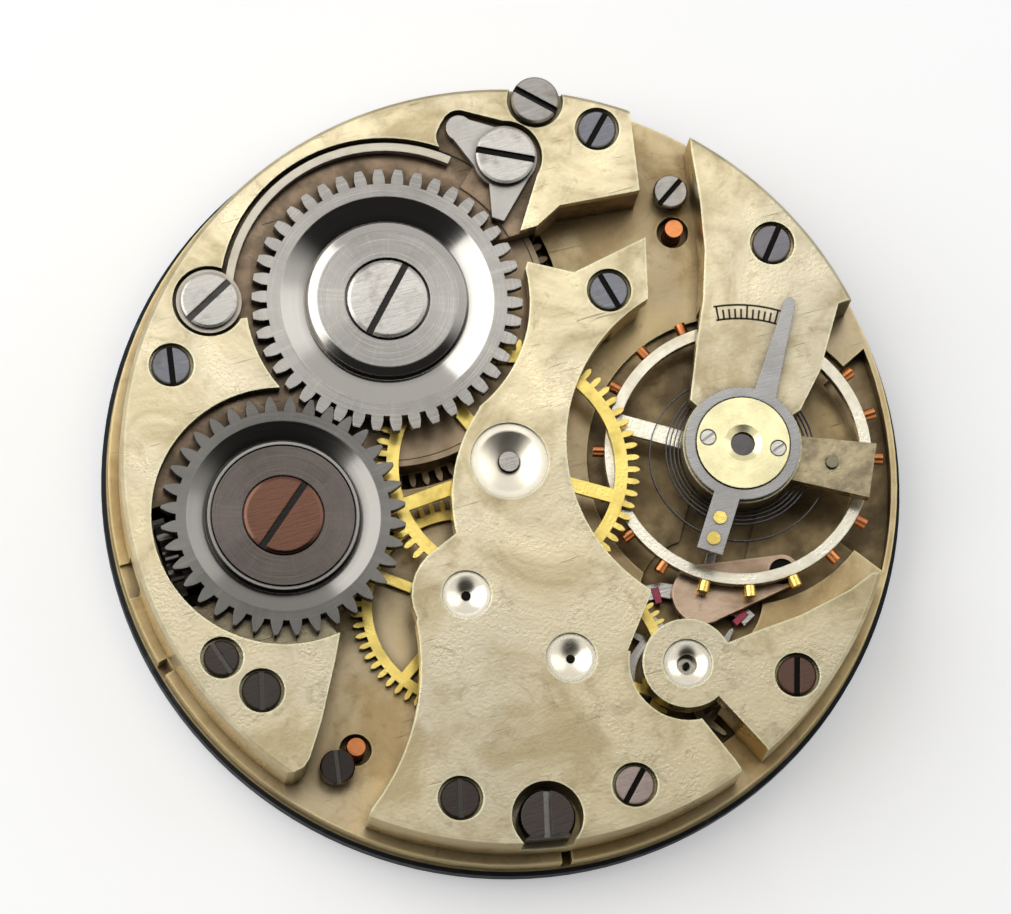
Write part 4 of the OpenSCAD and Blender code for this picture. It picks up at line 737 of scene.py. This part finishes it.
class MOVEMENT_OT_regulator(Operator):
    """Finishes the regulator, the cap and their pins, and cuts a plain scale into the cock"""

    bl_idname = "movement.regulator"
    bl_label = "Finish the regulator and cap"

    def execute(self, context):
        s = context.scene.movement_sizes
        wear(plain_steel("regulator_steel", (0.37, 0.36, 0.345), (0.25, 0.235, 0.22), 0.26, 0.0015), "regulator")
        wear(brassy("curb_pin_gold", BALANCE, tint("brass"), (0.45, 0.28, 0.06), 0.22), "curb_pins")
        wear(brassy("cap_brass", BALANCE, tint("cap"), tint("cap", 0.85), 0.18, 0.0008), "endstone_cap")
        wear(plain_steel("cap_screw_steel", tint("steel", 1.5), tint("steel"), 0.22), "endstone_cap_screws")
        centre = np.array(BALANCE) / 1000.0
        angle = np.radians(np.linspace(*SCALE_ANGLES, s.tick_count))
        size = np.where(np.arange(s.tick_count) % 5 == 0, s.tick_long, 0.7 * s.tick_long)
        top = BRIDGE_TOP / 1000.0
        bow = np.radians(np.linspace(SCALE_ANGLES[0] - 1.0, SCALE_ANGLES[1] + 1.0, 25))
        rings = s.tick_inner, s.tick_inner + s.tick_long
        first = [polar(centre, s.tick_inner, angle)] + [polar(centre, r, bow[:-1]) for r in rings]
        last = [polar(centre, s.tick_inner + size, angle)] + [polar(centre, r, bow[1:]) for r in rings]
        line_width = 0.00009
        points, faces = tiles(np.concatenate(first), np.concatenate(last), line_width,
                              top - s.mark_depth, top + s.mark_depth)
        ink = plain_steel("scale_ink", (0.05, 0.045, 0.035), tint("ink"), 0.6)
        new_piece("regulator_scale", points, faces, "frame", ink)
        return {"FINISHED"}


class MOVEMENT_OT_dial(Operator):
    """Finishes the enamel dial and prints plain minute and seconds marks on its face"""

    bl_idname = "movement.dial"
    bl_label = "Finish the dial"

    def execute(self, context):
        s = context.scene.movement_sizes
        f = Finish("dial_enamel")
        cloud = f.noise(0.3, 4.0, 0.6)
        edge = f.step(f.radius(), *DIAL_EDGE_ROUND)
        tone = f.blend(f.times(cloud, 0.35), tint("enamel"), tint("enamel", 0.86))
        f.set(f.blend(edge, tone, tint("flange", 1.5)), f.span(cloud, 0.3, 0.7, 0.10, 0.18), 0.0)
        f.shader.inputs["Coat Weight"].default_value = 0.4
        f.bump(f.noise(2.0, 2.0), 0.002)
        wear(f, "dial")
        wear(brassy("dial_foot_copper", (0.0, 0.0), tint("copper"), (0.34, 0.10, 0.04), 0.26), "dial_feet")
        points, faces = sixty_marks((0.0, 0.0), (0.0165, 0.0178), 0.0187, (0.00036, 0.00012), 0.0, s.mark_depth)
        ink = plain_steel("dial_ink", tint("ink"), tint("ink", 1.6), 0.45)
        new_piece("dial_minute_marks", points, faces, "frame", ink)
        sunk_face = 0.0004
        points, faces = sixty_marks(np.array(FOURTH) / 1000.0, (0.0030, 0.0034), 0.0037, (0.00014, 0.00006),
                                    sunk_face, s.mark_depth)
        new_piece("dial_seconds_marks", points, faces, "frame", ink)
        return {"FINISHED"}


class MOVEMENT_OT_stage(Operator):
    """Sets the floor, the soft light, the white surroundings and the camera"""

    bl_idname = "movement.stage"
    bl_label = "Set the stage"

    def execute(self, context):
        scene = context.scene
        s = scene.movement_stage
        scene.view_settings.view_transform = "Standard"
        self.floor(scene, s)
        self.surroundings(scene, s)
        for name, share, place, size in LAMPS:
            self.lamp(scene, name, share * s.key_power, place, size)
        self.camera(scene, s)
        return {"FINISHED"}

    def floor(self, scene, s):
        """A level square, with its own light added only where the camera looks at it, so that it stays white."""
        grid = np.linspace(-3.0, 3.0, 2)
        x, y = np.meshgrid(grid, grid, indexing="ij")
        points = np.stack([x, y, np.full_like(x, -s.floor_drop)], axis=-1).reshape(-1, 3)
        mesh = bpy.data.meshes.new("floor")
        mesh.from_pydata(points.tolist(), [], [[0, 2, 3, 1]])
        floor = bpy.data.objects.new("floor", mesh)
        scene.collection.objects.link(floor)
        f = Finish("floor_paper")
        cloud = f.noise(0.02, 3.0)
        f.set(f.blend(cloud, (0.86, 0.86, 0.86), (0.88, 0.88, 0.88)), f.span(cloud, 0.0, 1.0, 0.85, 0.95), 0.0)
        f.shader.inputs["Specular IOR Level"].default_value = 0.0
        seen = f.add("ShaderNodeLightPath").outputs["Is Camera Ray"]
        f.put(f.shader.inputs["Emission Color"], (1.0, 1.0, 1.0))
        f.put(f.shader.inputs["Emission Strength"], f.times(seen, FLOOR_GLOW))
        mesh.materials.append(f.material)

    def surroundings(self, scene, s):
        """White where the camera or a reflection looks, apart from a dark screen overhead, and dimmer for the light
        that falls on the object."""
        world = bpy.data.worlds.new("surroundings")
        scene.world = world
        world.use_nodes = True
        tree = world.node_tree
        tree.nodes.clear()
        out = tree.nodes.new("ShaderNodeOutputWorld")
        back = tree.nodes.new("ShaderNodeBackground")
        path = tree.nodes.new("ShaderNodeLightPath")
        place = tree.nodes.new("ShaderNodeTexCoord")
        dot = tree.nodes.new("ShaderNodeVectorMath")
        dot.operation = "DOT_PRODUCT"
        dot.inputs[1].default_value = SCREEN_WAY
        tree.links.new(place.outputs["Generated"], dot.inputs[0])
        overhead = tree.nodes.new("ShaderNodeMapRange")
        overhead.interpolation_type = "SMOOTHSTEP"
        overhead.inputs["From Min"].default_value, overhead.inputs["From Max"].default_value = SCREEN_EDGE
        overhead.inputs["To Min"].default_value, overhead.inputs["To Max"].default_value = 1.0, SCREEN_LEVEL
        tree.links.new(dot.outputs["Value"], overhead.inputs["Value"])
        glossy = tree.nodes.new("ShaderNodeMath")
        glossy.operation = "MAXIMUM"
        tree.links.new(path.outputs["Is Glossy Ray"], glossy.inputs[0])
        tree.links.new(path.outputs["Is Transmission Ray"], glossy.inputs[1])
        lit = tree.nodes.new("ShaderNodeMix")
        lit.inputs[2].default_value = s.fill
        tree.links.new(glossy.outputs["Value"], lit.inputs[0])
        tree.links.new(overhead.outputs["Result"], lit.inputs[3])
        seen = tree.nodes.new("ShaderNodeMix")
        seen.inputs[3].default_value = 1.0
        tree.links.new(path.outputs["Is Camera Ray"], seen.inputs[0])
        tree.links.new(lit.outputs[0], seen.inputs[2])
        tree.links.new(seen.outputs[0], back.inputs["Strength"])
        tree.links.new(back.outputs["Background"], out.inputs["Surface"])

    def lamp(self, scene, name, power, place, size):
        """A large soft disk of light that faces the object."""
        lamp = bpy.data.lights.new(name, "AREA")
        lamp.shape = "DISK"
        lamp.size = size
        lamp.energy = power
        holder = bpy.data.objects.new(name, lamp)
        scene.collection.objects.link(holder)
        place = np.array(place)
        z = place / np.linalg.norm(place)
        x = np.cross([0.0, 0.0, 1.0], z)
        x /= np.linalg.norm(x)
        y = np.cross(z, x)
        holder.matrix_world = Matrix(np.vstack([np.column_stack([x, y, z, place]), [0, 0, 0, 1]]).tolist())

    def camera(self, scene, s):
        """A long lens at the photograph's angle, its axes given by right and up."""
        data = bpy.data.cameras.new("camera")
        data.lens = s.lens
        data.sensor_width = 36.0
        data.sensor_fit = "HORIZONTAL"
        data.clip_start = 0.01
        data.clip_end = 10.0
        view = bpy.data.objects.new("camera", data)
        scene.collection.objects.link(view)
        x, y = np.array(s.right), np.array(s.up)
        x /= np.linalg.norm(x)
        y -= x * (x @ y)
        y /= np.linalg.norm(y)
        columns = np.column_stack([x, y, np.cross(x, y), np.array(s.eye)])
        view.matrix_world = Matrix(np.vstack([columns, [0, 0, 0, 1]]).tolist())
        scene.camera = view


STEPS = (MOVEMENT_OT_plate, MOVEMENT_OT_bridges, MOVEMENT_OT_screws, MOVEMENT_OT_winding, MOVEMENT_OT_click,
         MOVEMENT_OT_train, MOVEMENT_OT_keyless, MOVEMENT_OT_balance, MOVEMENT_OT_hairspring, MOVEMENT_OT_regulator,
         MOVEMENT_OT_dial, MOVEMENT_OT_stage)


class MOVEMENT_PT_panel(Panel):
    """The movement's steps and settings."""

    bl_label = "Pocket watch movement"
    bl_idname = "MOVEMENT_PT_panel"
    bl_space_type = "VIEW_3D"
    bl_region_type = "UI"
    bl_category = "Movement"

    def draw(self, context):
        for step in STEPS:
            self.layout.operator(step.bl_idname)
        for group in ("movement_colours", "movement_sizes", "movement_stage"):
            values = getattr(context.scene, group)
            box = self.layout.box()
            for key in values.__annotations__:
                box.prop(values, key)


CLASSES = (MovementColours, MovementSizes, MovementStage, *STEPS, MOVEMENT_PT_panel)


def register():
    for cls in CLASSES:
        bpy.utils.register_class(cls)
    bpy.types.Scene.movement_colours = PointerProperty(type=MovementColours)
    bpy.types.Scene.movement_sizes = PointerProperty(type=MovementSizes)
    bpy.types.Scene.movement_stage = PointerProperty(type=MovementStage)


def unregister():
    del bpy.types.Scene.movement_stage
    del bpy.types.Scene.movement_sizes
    del bpy.types.Scene.movement_colours
    for cls in reversed(CLASSES):
        bpy.utils.unregister_class(cls)


def main():
    register()
    for step in STEPS:
        group, name = step.bl_idname.split(".")
        getattr(getattr(bpy.ops, group), name)()


if __name__ == "__main__":
    main()
